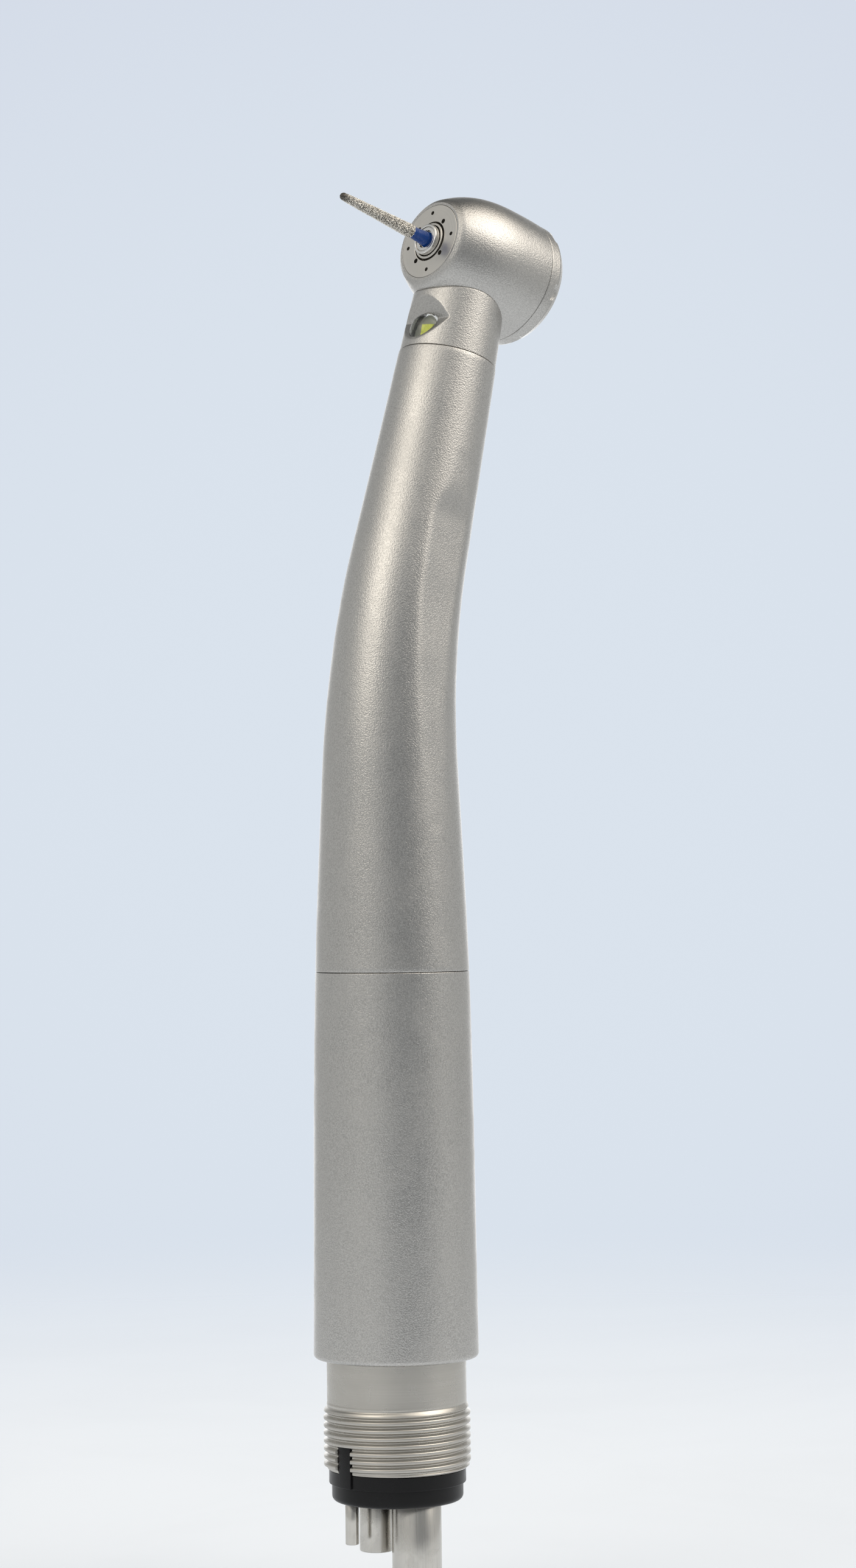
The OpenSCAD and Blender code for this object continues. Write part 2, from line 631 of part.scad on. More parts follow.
module bur_neck() color([0.1, 0.25, 0.7]) at_head() translate([0, 0, face_h + 0.3])
    cylinder(r1 = 0.77, r2 = 0.55, h = coat_h - face_h - 0.3, $fn = 64);

module bur_head() color([0.55, 0.53, 0.5]) at_head() rotate_extrude() polygon([
    [0, coat_h], [0.57, coat_h], [coat_r, coat_h + 0.1],
    for (a = [0:15:90]) [tip_r * cos(a), bur_tip_h - tip_r + tip_r * sin(a)]]);

threaded_connector();
tube_seat();
exhaust_tube();
drive_air_tube();
water_tube();
chip_air_tube();
connector_o_ring();
line_manifold();
rear_body_shell();
front_body_shell();
body_seam_o_ring();
seam_junction();
drive_air_line();
water_line();
chip_air_line();
led_wires();
generator_case();
generator_coil();
generator_magnet();
generator_shaft();
generator_impeller();
generator_bearings();
light_collar();
light_lens();
led_chip();
led_board();
head_housing();
face_plate();
nose_bushing();
back_cap();
push_button();
button_spring();
release_plunger();
spindle();
chuck_collet();
chuck_push_pin();
rotor_impeller();
front_inner_ring();
front_outer_ring();
front_balls();
front_ball_cage();
front_o_ring();
rear_inner_ring();
rear_outer_ring();
rear_balls();
rear_ball_cage();
rear_o_ring();
wave_washer();
bur_shank();
bur_neck();
bur_head();
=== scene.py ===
"""High speed dental handpiece: the visual model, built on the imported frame.

Run as a script. Each piece or group of like pieces has its operator, and the sidebar
panel lists them. Lengths inside the functions are millimetres; meshes are in metres.
"""

import json
import math
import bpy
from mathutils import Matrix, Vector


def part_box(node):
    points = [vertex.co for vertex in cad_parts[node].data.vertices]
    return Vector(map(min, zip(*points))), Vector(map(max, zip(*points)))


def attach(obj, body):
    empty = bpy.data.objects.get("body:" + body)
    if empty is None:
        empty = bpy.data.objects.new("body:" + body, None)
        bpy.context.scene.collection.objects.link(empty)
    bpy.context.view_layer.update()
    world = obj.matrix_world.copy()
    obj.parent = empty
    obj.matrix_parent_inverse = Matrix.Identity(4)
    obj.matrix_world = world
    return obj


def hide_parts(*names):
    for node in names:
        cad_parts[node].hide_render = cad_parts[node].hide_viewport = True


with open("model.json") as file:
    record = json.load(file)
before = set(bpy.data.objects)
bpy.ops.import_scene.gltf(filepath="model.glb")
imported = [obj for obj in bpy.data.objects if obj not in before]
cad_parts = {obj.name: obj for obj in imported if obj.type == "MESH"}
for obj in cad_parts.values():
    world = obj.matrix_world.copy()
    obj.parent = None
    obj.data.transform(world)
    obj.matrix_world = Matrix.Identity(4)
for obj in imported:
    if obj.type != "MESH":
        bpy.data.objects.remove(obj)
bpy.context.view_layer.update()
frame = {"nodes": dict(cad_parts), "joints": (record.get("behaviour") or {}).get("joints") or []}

from types import SimpleNamespace

import bmesh
import bpy
from mathutils import Matrix, Vector

bl_info = {
    "name": "High Speed Handpiece",
    "version": (1, 0, 0),
    "blender": (4, 5, 0),
    "location": "View3D > Sidebar > Handpiece",
    "description": "Builds the pieces and finishes of a dental handpiece",
    "category": "Add Mesh",
}

MM = 0.001
ROOT = "handpiece"
JOINTS = {joint["name"]: joint for joint in frame["joints"]}
SPIN = JOINTS["turbine_spin"]

# Places, in millimetres: the head's frame has +Z towards the bur and +X up the neck, and
# the neck's frame has +Z up the neck and -X on the bur's side
HEAD_AT = Vector(SPIN["pos_m"]) / MM
BUR_WAY = Vector(SPIN["axis"]).normalized()
NECK_WAY = Vector((BUR_WAY.z, 0, -BUR_WAY.x))
SIDE_WAY = Vector((0, 1, 0))


def frame_at(x_way, y_way, z_way, origin):
    """The matrix of a local frame with the given axes and origin."""
    turn = Matrix((x_way, y_way, z_way)).transposed().to_4x4()
    return Matrix.Translation(origin) @ turn


HANDLE = Matrix.Identity(4)
HEAD = frame_at(NECK_WAY, SIDE_WAY, BUR_WAY, HEAD_AT)
NECK = frame_at(-BUR_WAY, SIDE_WAY, NECK_WAY, HEAD_AT)
RIM_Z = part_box("rear_body_shell")[0].z / MM
SEAM_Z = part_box("rear_body_shell")[1].z / MM

# Radius of the bur's rounded tip, and the tip's height on the head's axis
TIP_R = 0.38
BUR_TIP_H = TIP_R + (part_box("bur_head")[0].x / MM + TIP_R - HEAD_AT.x) / BUR_WAY.x


def length(name, millimetres, description):
    """A length property in metres, given in millimetres."""
    return bpy.props.FloatProperty(
        name=name, description=description, default=millimetres * MM, unit="LENGTH",
        precision=5, min=0.0)


def tint(name, colour, description):
    """A colour property, linear RGB."""
    return bpy.props.FloatVectorProperty(
        name=name, description=description, default=colour, size=3, subtype="COLOR",
        min=0.0, max=1.0)


class HandpieceSizes(bpy.types.PropertyGroup):
    """Sizes of the visible pieces."""

    rim_r: length("Rim radius", 7.4, "Radius of the handle at its rear rim")
    seam_r: length("Seam radius", 6.92, "Radius of the handle at the joint of its shells")
    waist_r: length("Waist radius", 5.67, "Radius of the body where the bend starts")
    throat_r: length("Throat radius", 4.95, "Radius of the body past the side flats")
    neck_r: length("Neck radius", 4.53, "Radius of the body where the light collar starts")
    wall: length("Wall", 0.78, "Thickness of the body shells")
    bend_r: length("Bend radius", 73.8, "Radius of the bend of the centre line")
    straight_l: length("Straight length", 52.6, "Rear rim to the start of the bend")
    head_r: length("Head radius", 5.97, "Largest radius of the head")
    face_r: length("Face radius", 3.95, "Radius of the head at its face")
    face_h: length("Face height", 4.84, "Distance from the neck's axis to the face")
    plate_r: length("Plate radius", 3.53, "Radius of the face plate")
    button_r: length("Button radius", 3.85, "Radius of the push button")
    nose_r: length("Nose radius", 1.45, "Radius of the turning chuck at the face")
    shank_r: length("Shank radius", 0.8, "Radius of the bur's shank")
    coat_l: length("Coating length", 8.8, "Length of the diamond coating")
    coat_r: length("Coating radius", 0.69, "Radius of the coating at its thick end")
    tip_r: length("Tip radius", TIP_R, "Radius of the bur's rounded tip")
    grit_size: length("Grit size", 0.165, "Size of a diamond crystal")
    thread_r: length("Thread radius", 6.58, "Crest radius of the connector thread")
    thread_pitch: length("Thread pitch", 0.685, "Pitch of the connector thread")
    relief_r: length("Relief radius", 6.25, "Radius of the plain neck above the thread")
    seat_r: length("Seat radius", 5.88, "Radius of the black tube seat")
    slot_w: length("Slot width", 1.6, "Width of the slot across the thread")
    grit_seed: bpy.props.IntProperty(
        name="Grit seed", description="Seed of the crystals' places", default=7, min=0)
    tube_turn: bpy.props.FloatProperty(
        name="Tube turn", description="Turn of the tube pattern about the handle",
        default=math.radians(-78), subtype="ANGLE")
    spray_turn: bpy.props.FloatProperty(
        name="Spray turn", description="Turn of the spray holes about the head's axis",
        default=math.radians(6.5), subtype="ANGLE")


class HandpieceColours(bpy.types.PropertyGroup):
    """Colours of the finishes."""

    body: tint("Body", (0.565, 0.555, 0.535), "Bead-blasted steel of the body and head")
    face: tint("Face", (0.66, 0.64, 0.60), "Turned steel of the face and the button")
    thread: tint("Thread", (0.54, 0.52, 0.48), "Steel of the rear thread")
    tube: tint("Tubes", (0.60, 0.58, 0.54), "Drawn steel tubes")
    polished: tint("Polished", (0.80, 0.79, 0.77), "Polished steel of the chuck")
    black: tint("Black", (0.005, 0.005, 0.0055), "Moulded black seat of the tubes")
    blue: tint("Blue", (0.006, 0.05, 0.24), "Colour code of the bur's neck")
    bond: tint("Bond", (0.115, 0.108, 0.098), "Nickel that holds the diamond grit")
    crystal: tint("Crystal", (0.80, 0.77, 0.71), "Diamond grit")
    glow: tint("Phosphor", (0.62, 0.66, 0.10), "Yellow phosphor of the light")
    backdrop: tint("Backdrop", (0.70, 0.765, 0.845), "Pale studio background")
    # Darker than the backdrop: painted shade in the middle, behind the object
    backdrop_shaded_middle: tint(
        "Backdrop middle", (0.655, 0.705, 0.80), "Background behind the object")
    floor: tint("Floor", (0.76, 0.81, 0.88), "Pale studio floor")


def sizes():
    """The sizes in millimetres, with whole numbers and angles as they are."""
    group = bpy.context.scene.handpiece_sizes
    plain = {"grit_seed", "tube_turn", "spray_turn"}
    names = HandpieceSizes.__annotations__
    return SimpleNamespace(**{
        n: getattr(group, n) / (1 if n in plain else MM) for n in names})


def colour(name):
    """A colour of the finishes as RGBA."""
    return (*getattr(bpy.context.scene.handpiece_colours, name), 1.0)


# ---- node trees ----


def put(tree, kind, inputs=None, **settings):
    """Adds a node, sets its settings, and sets or links its inputs."""
    made = tree.nodes.new(kind)
    for name, value in settings.items():
        setattr(made, name, value)
    for key, value in (inputs or {}).items():
        if isinstance(value, bpy.types.NodeSocket):
            tree.links.new(value, made.inputs[key])
        else:
            made.inputs[key].default_value = value
    return made


def calc(tree, operation, *values):
    """The output of a Math node on sockets or numbers."""
    return put(tree, "ShaderNodeMath", dict(enumerate(values)), operation=operation).outputs[0]


def distance_out(tree, x, y):
    """The distance from the Z axis of a place at x and y."""
    squares = [calc(tree, "MULTIPLY", part, part) for part in (x, y)]
    return calc(tree, "SQRT", calc(tree, "ADD", *squares))


def spread(tree, value, low, high, to_low=0.0, to_high=1.0, smooth=True):
    """Maps a value from one range to another, clamped."""
    made = put(tree, "ShaderNodeMapRange", {
        "Value": value, "From Min": low, "From Max": high, "To Min": to_low,
        "To Max": to_high})
    made.interpolation_type = "SMOOTHSTEP" if smooth else "LINEAR"
    return made.outputs["Result"]


def new_tree(name, kind, inputs, outputs):
    """A node group with named sockets, and its input and output nodes."""
    tree = bpy.data.node_groups.new(name, kind)
    for way, sockets in (("INPUT", inputs), ("OUTPUT", outputs)):
        for label, (socket, default) in sockets.items():
            made = tree.interface.new_socket(label, in_out=way, socket_type=socket)
            if default is not None:
                made.default_value = default
    start = tree.nodes.new("NodeGroupInput")
    end = tree.nodes.new("NodeGroupOutput")
    return tree, start.outputs, end.inputs


FLOAT, WHOLE, VECTOR = "NodeSocketFloat", "NodeSocketInt", "NodeSocketVector"
GEOMETRY, MATERIAL = "NodeSocketGeometry", "NodeSocketMaterial"


def grain_group():
    """Bead-blasted or cast grain: bumps of a given size, with finer wrinkles between."""
    tree, given, out = new_tree(
        "Blasted grain", "ShaderNodeTree",
        {"Vector": (VECTOR, None), "Size": (FLOAT, 0.15), "Wrinkle": (FLOAT, 0.5)},
        {"Height": (FLOAT, None), "Tone": (FLOAT, None)})
    often = calc(tree, "DIVIDE", 1.0, given["Size"])
    coarse = put(tree, "ShaderNodeTexNoise", {
        "Vector": given["Vector"], "Scale": often, "Detail": 1.0, "Roughness": 0.5,
        "Distortion": 0.1})
    cells = put(tree, "ShaderNodeTexVoronoi", {
        "Vector": given["Vector"], "Scale": calc(tree, "MULTIPLY", often, 1.3)},
        feature="F1")
    fine = put(tree, "ShaderNodeTexNoise", {
        "Vector": given["Vector"], "Scale": calc(tree, "MULTIPLY", often, 3.1),
        "Detail": 1.0})
    rough = calc(tree, "MULTIPLY", fine.outputs["Fac"], given["Wrinkle"])
    hills = calc(tree, "ADD", coarse.outputs["Fac"],
                 calc(tree, "MULTIPLY", cells.outputs["Distance"], -0.35))
    height = calc(tree, "ADD", hills, rough)
    tree.links.new(height, out["Height"])
    tree.links.new(spread(tree, height, 0.12, 0.62), out["Tone"])
    return tree


def marks_group():
    """Marks of a lathe or a draw die: fine lines across one direction of the vector."""
    tree, given, out = new_tree(
        "Tool marks", "ShaderNodeTree",
        {"Vector": (VECTOR, None), "Spacing": (FLOAT, 0.05), "Break up": (FLOAT, 0.2)},
        {"Height": (FLOAT, None), "Tone": (FLOAT, None)})
    parts = put(tree, "ShaderNodeSeparateXYZ", {0: given["Vector"]}).outputs
    often = calc(tree, "DIVIDE", 1.0, given["Spacing"])
    slowly = calc(tree, "MULTIPLY", often, given["Break up"])
    stretched = put(tree, "ShaderNodeCombineXYZ", {
        i: calc(tree, "MULTIPLY", parts[i], rate)
        for i, rate in enumerate((often, slowly, slowly))}).outputs[0]
    lines = put(tree, "ShaderNodeTexNoise", {
        "Vector": stretched, "Scale": 1.0, "Detail": 3.0, "Roughness": 0.6})
    tree.links.new(lines.outputs["Fac"], out["Height"])
    tree.links.new(spread(tree, lines.outputs["Fac"], 0.3, 0.7), out["Tone"])
    return tree


def round_vector_group():
    """Turns a vector into distance from the Z axis, angle and height, for turned pieces."""
    tree, given, out = new_tree(
        "Round vector", "ShaderNodeTree", {"Vector": (VECTOR, None)},
        {"Around": (VECTOR, None), "Radius": (FLOAT, None)})
    parts = put(tree, "ShaderNodeSeparateXYZ", {0: given["Vector"]}).outputs
    radius = distance_out(tree, parts[0], parts[1])
    angle = calc(tree, "ARCTAN2", parts[1], parts[0])
    swept = put(tree, "ShaderNodeCombineXYZ", {0: radius, 1: angle, 2: parts[2]})
    tree.links.new(swept.outputs[0], out["Around"])
    tree.links.new(radius, out["Radius"])
    return tree


def handling_group():
    """Faint wide patches where a finish is a little duller or darker from handling."""
    tree, given, out = new_tree(
        "Handling", "ShaderNodeTree",
        {"Vector": (VECTOR, None), "Size": (FLOAT, 6.0), "Amount": (FLOAT, 0.5)},
        {"Mask": (FLOAT, None)})
    often = calc(tree, "DIVIDE", 1.0, given["Size"])
    patches = put(tree, "ShaderNodeTexNoise", {
        "Vector": given["Vector"], "Scale": often, "Detail": 4.0, "Roughness": 0.6,
        "Distortion": 0.8})
    mask = spread(tree, patches.outputs["Fac"], 0.35, 0.7)
    tree.links.new(calc(tree, "MULTIPLY", mask, given["Amount"]), out["Mask"])
    return tree


GROUP_MAKERS = {
    "Blasted grain": grain_group, "Tool marks": marks_group,
    "Round vector": round_vector_group, "Handling": handling_group}


def group_node(tree, name, inputs):
    """Places a shared effect in a material, building its group the first time."""
    shared = bpy.data.node_groups.get(name) or GROUP_MAKERS[name]()
    return put(tree, "ShaderNodeGroup", inputs, node_tree=shared).outputs


def local_vector(tree, at):
    """Object coordinates in millimetres, in one of the local frames."""
    coords = put(tree, "ShaderNodeTexCoord").outputs["Object"]
    back = at.inverted()
    return put(tree, "ShaderNodeMapping", {
        "Vector": coords, "Location": back.to_translation(), "Rotation": back.to_euler(),
        "Scale": (1 / MM,) * 3}).outputs["Vector"]


def blend_tints(tree, mask, first, second, change="MIX"):
    """Mixes, adds or subtracts two colours by a mask."""
    return put(tree, "ShaderNodeMix", {"Factor": mask, 6: first, 7: second},
               data_type="RGBA", blend_type=change).outputs[2]


def darker(rgba, share):
    """The colour scaled towards black."""
    return (*(c * share for c in rgba[:3]), 1.0)


def new_material(name):
    """A material with a Principled shader, and its tree and shader."""
    material = bpy.data.materials.new(name)
    material.use_nodes = True
    return material, material.node_tree, material.node_tree.nodes["Principled BSDF"]


def bump(tree, shader, height, strength, distance):
    """Feeds a height to the shader's normal."""
    made = put(tree, "ShaderNodeBump", {
        "Height": height, "Strength": strength, "Distance": distance * MM})
    tree.links.new(made.outputs["Normal"], shader.inputs["Normal"])


def mottle(tree, shader, tone, worn, rgba, rough, grain_shade, worn_share, worn_shade):
    """Colour and roughness of a finish: shaded by its grain, and changed where it is worn."""
    mottled = blend_tints(tree, tone, darker(rgba, grain_shade), rgba)
    mask = calc(tree, "MULTIPLY", worn, worn_share)
    tree.links.new(blend_tints(tree, mask, mottled, darker(rgba, worn_shade)),
                   shader.inputs["Base Color"])
    tree.links.new(spread(tree, worn, 0.0, 1.0, *rough), shader.inputs["Roughness"])


def satin(name, rgba, at, grain, rough, depth, metallic=1.0, wrinkle=0.5, patch=6.0,
          speckle=0.9, shine=0.5):
    """A grained finish: blasted metal, moulded plastic or rubber."""
    material, tree, shader = new_material(name)
    vector = local_vector(tree, at)
    grains = group_node(tree, "Blasted grain", {
        "Vector": vector, "Size": grain, "Wrinkle": wrinkle})
    worn = group_node(tree, "Handling", {"Vector": vector, "Size": patch, "Amount": 1.0})
    mottle(tree, shader, grains["Tone"], worn["Mask"], rgba, (rough - 0.03, rough + 0.04),
           speckle, 0.35, 0.86)
    shader.inputs["Metallic"].default_value = metallic
    shader.inputs["Specular IOR Level"].default_value = shine
    bump(tree, shader, grains["Height"], 1.0, depth)
    return material


def turned_metal(name, rgba, at, rough, spacing=0.045, depth=0.0015, patch=3.0):
    """Metal from a lathe: fine rings about the local Z axis."""
    material, tree, shader = new_material(name)
    vector = local_vector(tree, at)
    around = group_node(tree, "Round vector", {"Vector": vector})["Around"]
    lines = group_node(tree, "Tool marks", {
        "Vector": around, "Spacing": spacing, "Break up": 0.02})
    heights = group_node(tree, "Tool marks", {
        "Vector": put(tree, "ShaderNodeVectorRotate", {
            "Vector": around, "Angle": math.pi / 2}, rotation_type="Y_AXIS").outputs[0],
        "Spacing": spacing, "Break up": 0.02})
    worn = group_node(tree, "Handling", {"Vector": vector, "Size": patch, "Amount": 1.0})
    tone = calc(tree, "MULTIPLY", lines["Tone"], heights["Tone"])
    mottle(tree, shader, tone, worn["Mask"], rgba, (rough - 0.03, rough + 0.05),
           0.88, 0.3, 0.84)
    shader.inputs["Metallic"].default_value = 1.0
    bump(tree, shader, calc(tree, "ADD", lines["Height"], heights["Height"]), 0.7, depth)
    return material


def drawn_metal(name, rgba, at, rough, spacing=0.12, depth=0.004):
    """Metal drawn or ground along the local Z axis: fine lengthwise lines."""
    material, tree, shader = new_material(name)
    vector = local_vector(tree, at)
    parts = put(tree, "ShaderNodeSeparateXYZ", {0: vector}).outputs
    length_ways = calc(tree, "MULTIPLY", parts[2], 0.03)
    squeezed = put(tree, "ShaderNodeCombineXYZ", {0: parts[0], 1: parts[1], 2: length_ways})
    grains = group_node(tree, "Blasted grain", {
        "Vector": squeezed.outputs[0], "Size": spacing, "Wrinkle": 0.6})
    worn = group_node(tree, "Handling", {"Vector": vector, "Size": 2.5, "Amount": 1.0})
    mottle(tree, shader, grains["Tone"], worn["Mask"], rgba, (rough - 0.04, rough + 0.06),
           0.82, 0.4, 0.8)
    shader.inputs["Metallic"].default_value = 1.0
    bump(tree, shader, grains["Height"], 0.8, depth)
    return material


def clear_lens():
    """Clear polished lens with very faint moulding ripples."""
    material, tree, shader = new_material("Clear lens")
    vector = local_vector(tree, NECK)
    ripple = group_node(tree, "Handling", {"Vector": vector, "Size": 0.8, "Amount": 1.0})
    tree.links.new(spread(tree, ripple["Mask"], 0.0, 1.0, 0.02, 0.07),
                   shader.inputs["Roughness"])
    shader.inputs["Base Color"].default_value = (0.96, 0.98, 0.98, 1.0)
    shader.inputs["Transmission Weight"].default_value = 1.0
    shader.inputs["IOR"].default_value = 1.47
    bump(tree, shader, ripple["Mask"], 0.3, 0.01)
    return material


def phosphor():
    """Yellow phosphor behind the lens, a little mottled, bright, with a faint painted glow."""
    rgba = colour("glow")
    material, tree, shader = new_material("Light phosphor")
    vector = local_vector(tree, NECK)
    grains = group_node(tree, "Blasted grain", {"Vector": vector, "Size": 0.1, "Wrinkle": 0.4})
    mottled = blend_tints(tree, grains["Tone"], darker(rgba, 0.75), rgba)
    # The mottled colour is also sent out as a faint emission: a painted glow
    for socket in ("Base Color", "Emission Color"):
        tree.links.new(mottled, shader.inputs[socket])
    shader.inputs["Roughness"].default_value = 0.4
    shader.inputs["Emission Strength"].default_value = 0.25
    bump(tree, shader, grains["Height"], 0.5, 0.01)
    return material


def worn_grit(name, rgba, rough, metallic, facet):
    """Diamond grit or its nickel bond, flecked dark, and evenly grey towards the tip."""
    size = sizes()
    material, tree, shader = new_material(name)
    vector = local_vector(tree, HEAD)
    along = put(tree, "ShaderNodeSeparateXYZ", {0: vector}).outputs[2]
    tip = spread(tree, along, BUR_TIP_H - 1.5 * size.tip_r, BUR_TIP_H)
    grains = group_node(tree, "Blasted grain", {
        "Vector": vector, "Size": facet, "Wrinkle": 0.9})
    patch = spread(tree, grains["Tone"], 0.25, 0.6)
    mottled = blend_tints(tree, patch, darker(rgba, 0.1), rgba)
    tree.links.new(blend_tints(tree, tip, mottled, darker(rgba, 0.6)),
                   shader.inputs["Base Color"])
    tree.links.new(spread(tree, grains["Tone"], 0.0, 1.0, rough + 0.12, rough),
                   shader.inputs["Roughness"])
    shader.inputs["Metallic"].default_value = metallic
    bump(tree, shader, grains["Height"], 0.8, 0.02)
    return material


MATERIAL_MAKERS = {
    "body": lambda: satin("Blasted steel", colour("body"), HANDLE, 0.13, 0.31, 0.022,
                          wrinkle=0.12, speckle=0.74),
    "face": lambda: turned_metal("Turned face steel", colour("face"), HEAD, 0.33),
    "button": lambda: turned_metal("Turned button steel", colour("face"), HEAD, 0.30),
    "thread": lambda: turned_metal(
        "Thread steel", colour("thread"), HANDLE, 0.30, spacing=0.06, depth=0.003),
    "tube": lambda: drawn_metal("Drawn tube steel", colour("tube"), HANDLE, 0.23),
    "polished": lambda: turned_metal(
        "Polished steel", colour("polished"), HEAD, 0.14, spacing=0.03, depth=0.0005),
    "bearing": lambda: turned_metal(
        "Ground bearing steel", colour("polished"), HEAD, 0.2, spacing=0.03, depth=0.0006),
    "shank": lambda: drawn_metal("Ground shank", colour("polished"), HEAD, 0.22, 0.05, 0.001),
    "black": lambda: satin(
        "Black moulding", colour("black"), HANDLE, 0.12, 0.30, 0.006, metallic=0.0,
        shine=0.22),
    "rubber": lambda: satin(
        "Black rubber", (0.02, 0.02, 0.02, 1.0), HANDLE, 0.08, 0.6, 0.004, metallic=0.0),
    "aluminium": lambda: turned_metal(
        "Turned aluminium", (0.72, 0.72, 0.73, 1.0), HEAD, 0.32, spacing=0.07, depth=0.002),
    "copper": lambda: drawn_metal(
        "Copper winding", (0.72, 0.36, 0.16, 1.0), HANDLE, 0.3, 0.09, 0.02),
    "magnet": lambda: satin(
        "Sintered magnet", (0.22, 0.22, 0.24, 1.0), HANDLE, 0.05, 0.45, 0.003),
    "bronze": lambda: satin(
        "Sintered bronze", (0.60, 0.42, 0.18, 1.0), HANDLE, 0.06, 0.4, 0.004),
    "ceramic": lambda: satin(
        "Polished ceramic", (0.80, 0.79, 0.74, 1.0), HEAD, 0.3, 0.15, 0.0005, metallic=0.0),
    "resin": lambda: satin(
        "Fibre resin", (0.52, 0.34, 0.15, 1.0), HEAD, 0.09, 0.5, 0.004, metallic=0.0),
    "red": lambda: satin(
        "Red insulation", (0.5, 0.03, 0.02, 1.0), HANDLE, 0.2, 0.35, 0.001, metallic=0.0),
    "board": lambda: satin(
        "Circuit board", (0.42, 0.43, 0.38, 1.0), NECK, 0.1, 0.4, 0.003, metallic=0.0),
    "blue": lambda: satin(
        "Blue colour code", colour("blue"), HEAD, 0.09, 0.2, 0.004, metallic=0.0),
    "lens": clear_lens,
    "phosphor": phosphor,
    "bond": lambda: worn_grit("Nickel bond", colour("bond"), 0.34, 1.0, 0.07),
    "crystal": lambda: worn_grit("Diamond grit", colour("crystal"), 0.16, 0.9, 0.2),
}


def finish_named(name):
    """One of the materials, built the first time it is asked for."""
    key = f"finish {name}"
    for material in bpy.data.materials:
        if material.get("finish") == key:
            return material
    made = MATERIAL_MAKERS[name]()
    made["finish"] = key
    return made


# ---- meshes ----


def rounded(corners, steps=4, closed=True):
    """An outline with its corners rounded: corners are (r, h) or (r, h, fillet)."""
    outline = []
    count = len(corners)
    for i, corner in enumerate(corners):
        fillet = corner[2] if len(corner) > 2 else 0
        inner = closed or 0 < i < count - 1
        if not fillet or not inner:
            outline.append(Vector(corner[:2]))
            continue
        here = Vector(corner[:2])
        to_last = Vector(corners[i - 1][:2]) - here
        to_next = Vector(corners[(i + 1) % count][:2]) - here
        reach = 0.45 * min(to_last.length, to_next.length)
        to_last.normalize()
        to_next.normalize()
        half = to_last.angle(to_next) / 2
        if half > math.radians(89):
            outline.append(here)
            continue
        cut = min(fillet / math.tan(half), reach)
        middle = here + (to_last + to_next).normalized() * cut / math.cos(half)
        start, end = here + to_last * cut - middle, here + to_next * cut - middle
        sweep = start.angle(end)
        outline.append(here + to_last * min(1.4 * cut, 2 * reach))
        for k in range(steps + 1):
            t = k / steps
            outline.append(middle + start * math.sin((1 - t) * sweep) / math.sin(sweep)
                           + end * math.sin(t * sweep) / math.sin(sweep))
        outline.append(here + to_next * min(1.4 * cut, 2 * reach))
    return outline


def link(name, mesh):
    """An object for a mesh, in the scene."""
    piece = bpy.data.objects.new(name, mesh)
    bpy.context.scene.collection.objects.link(piece)
    return piece


def skin(name, rings, at=HANDLE, loop=False):
    """A closed surface through rings of local points; a ring of one point is a pole."""
    bm = bmesh.new()
    scale = Matrix.Scale(MM, 4)
    made = [[bm.verts.new(scale @ at @ Vector(p)) for p in ring] for ring in rings]
    pairs = list(zip(made, made[1:])) + ([(made[-1], made[0])] if loop else [])
    for lower, upper in pairs:
        sides = max(len(lower), len(upper))
        for i in range(sides):
            j = (i + 1) % sides
            if len(lower) == 1:
                bm.faces.new((lower[0], upper[j], upper[i]))
            elif len(upper) == 1:
                bm.faces.new((lower[i], lower[j], upper[0]))
            else:
                bm.faces.new((lower[i], lower[j], upper[j], upper[i]))
    bmesh.ops.recalc_face_normals(bm, faces=bm.faces)
    mesh = bpy.data.meshes.new(name)
    bm.to_mesh(mesh)
    bm.free()
    return link(name, mesh)


def turned(name, outline, sides=128, at=HANDLE):
    """A solid turned about the local Z axis from an outline of (r, h) points."""
    rings = []
    for r, h in outline:
        if r < 1e-4:
            rings.append([(0, 0, h)])
            continue
        angles = [2 * math.pi * i / sides for i in range(sides)]
        rings.append([(r * math.cos(a), r * math.sin(a), h) for a in angles])
    loop = len(rings[0]) > 1 and len(rings[-1]) > 1
    return skin(name, rings, at, loop)


def plain_mesh(piece):
    """Turns a piece and its live modifiers into a plain mesh, and removes the modifiers."""
    shown = piece.evaluated_get(bpy.context.evaluated_depsgraph_get())
    mesh = bpy.data.meshes.new_from_object(shown)
    piece.modifiers.clear()
    old = piece.data
    piece.data = mesh
    mesh.name = piece.name
    bpy.data.meshes.remove(old)
    return piece


def carved(piece, cutters, operation="DIFFERENCE"):
    """Cuts pieces from a piece, or joins them to it, and removes them."""
    for cutter in cutters:
        cut = piece.modifiers.new("Cut", "BOOLEAN")
        cut.operation = operation
        cut.solver = "EXACT"
        cut.object = cutter
    bpy.context.view_layer.update()
    plain_mesh(piece)
    for cutter in cutters:
        mesh = cutter.data
        bpy.data.objects.remove(cutter)
        bpy.data.meshes.remove(mesh)
    return piece


def cleaned(piece):
    """Merges doubled points and drops slivers left by a cut."""
    bm = bmesh.new()
    bm.from_mesh(piece.data)
    bmesh.ops.remove_doubles(bm, verts=bm.verts, dist=1e-6)
    bmesh.ops.dissolve_degenerate(bm, dist=1e-7, edges=bm.edges)
    bm.to_mesh(piece.data)
    bm.free()
    return piece


def with_nodes(piece, tree, values):
    """Runs a Geometry Nodes tree on a piece with the named inputs, and keeps the result."""
    made = piece.modifiers.new(tree.name, "NODES")
    made.node_group = tree
    named = {s.name: s.identifier for s in tree.interface.items_tree
             if s.item_type == "SOCKET" and s.in_out == "INPUT"}
    for name, value in values.items():
        made[named[name]] = value
    bpy.context.view_layer.update()
    return plain_mesh(piece)


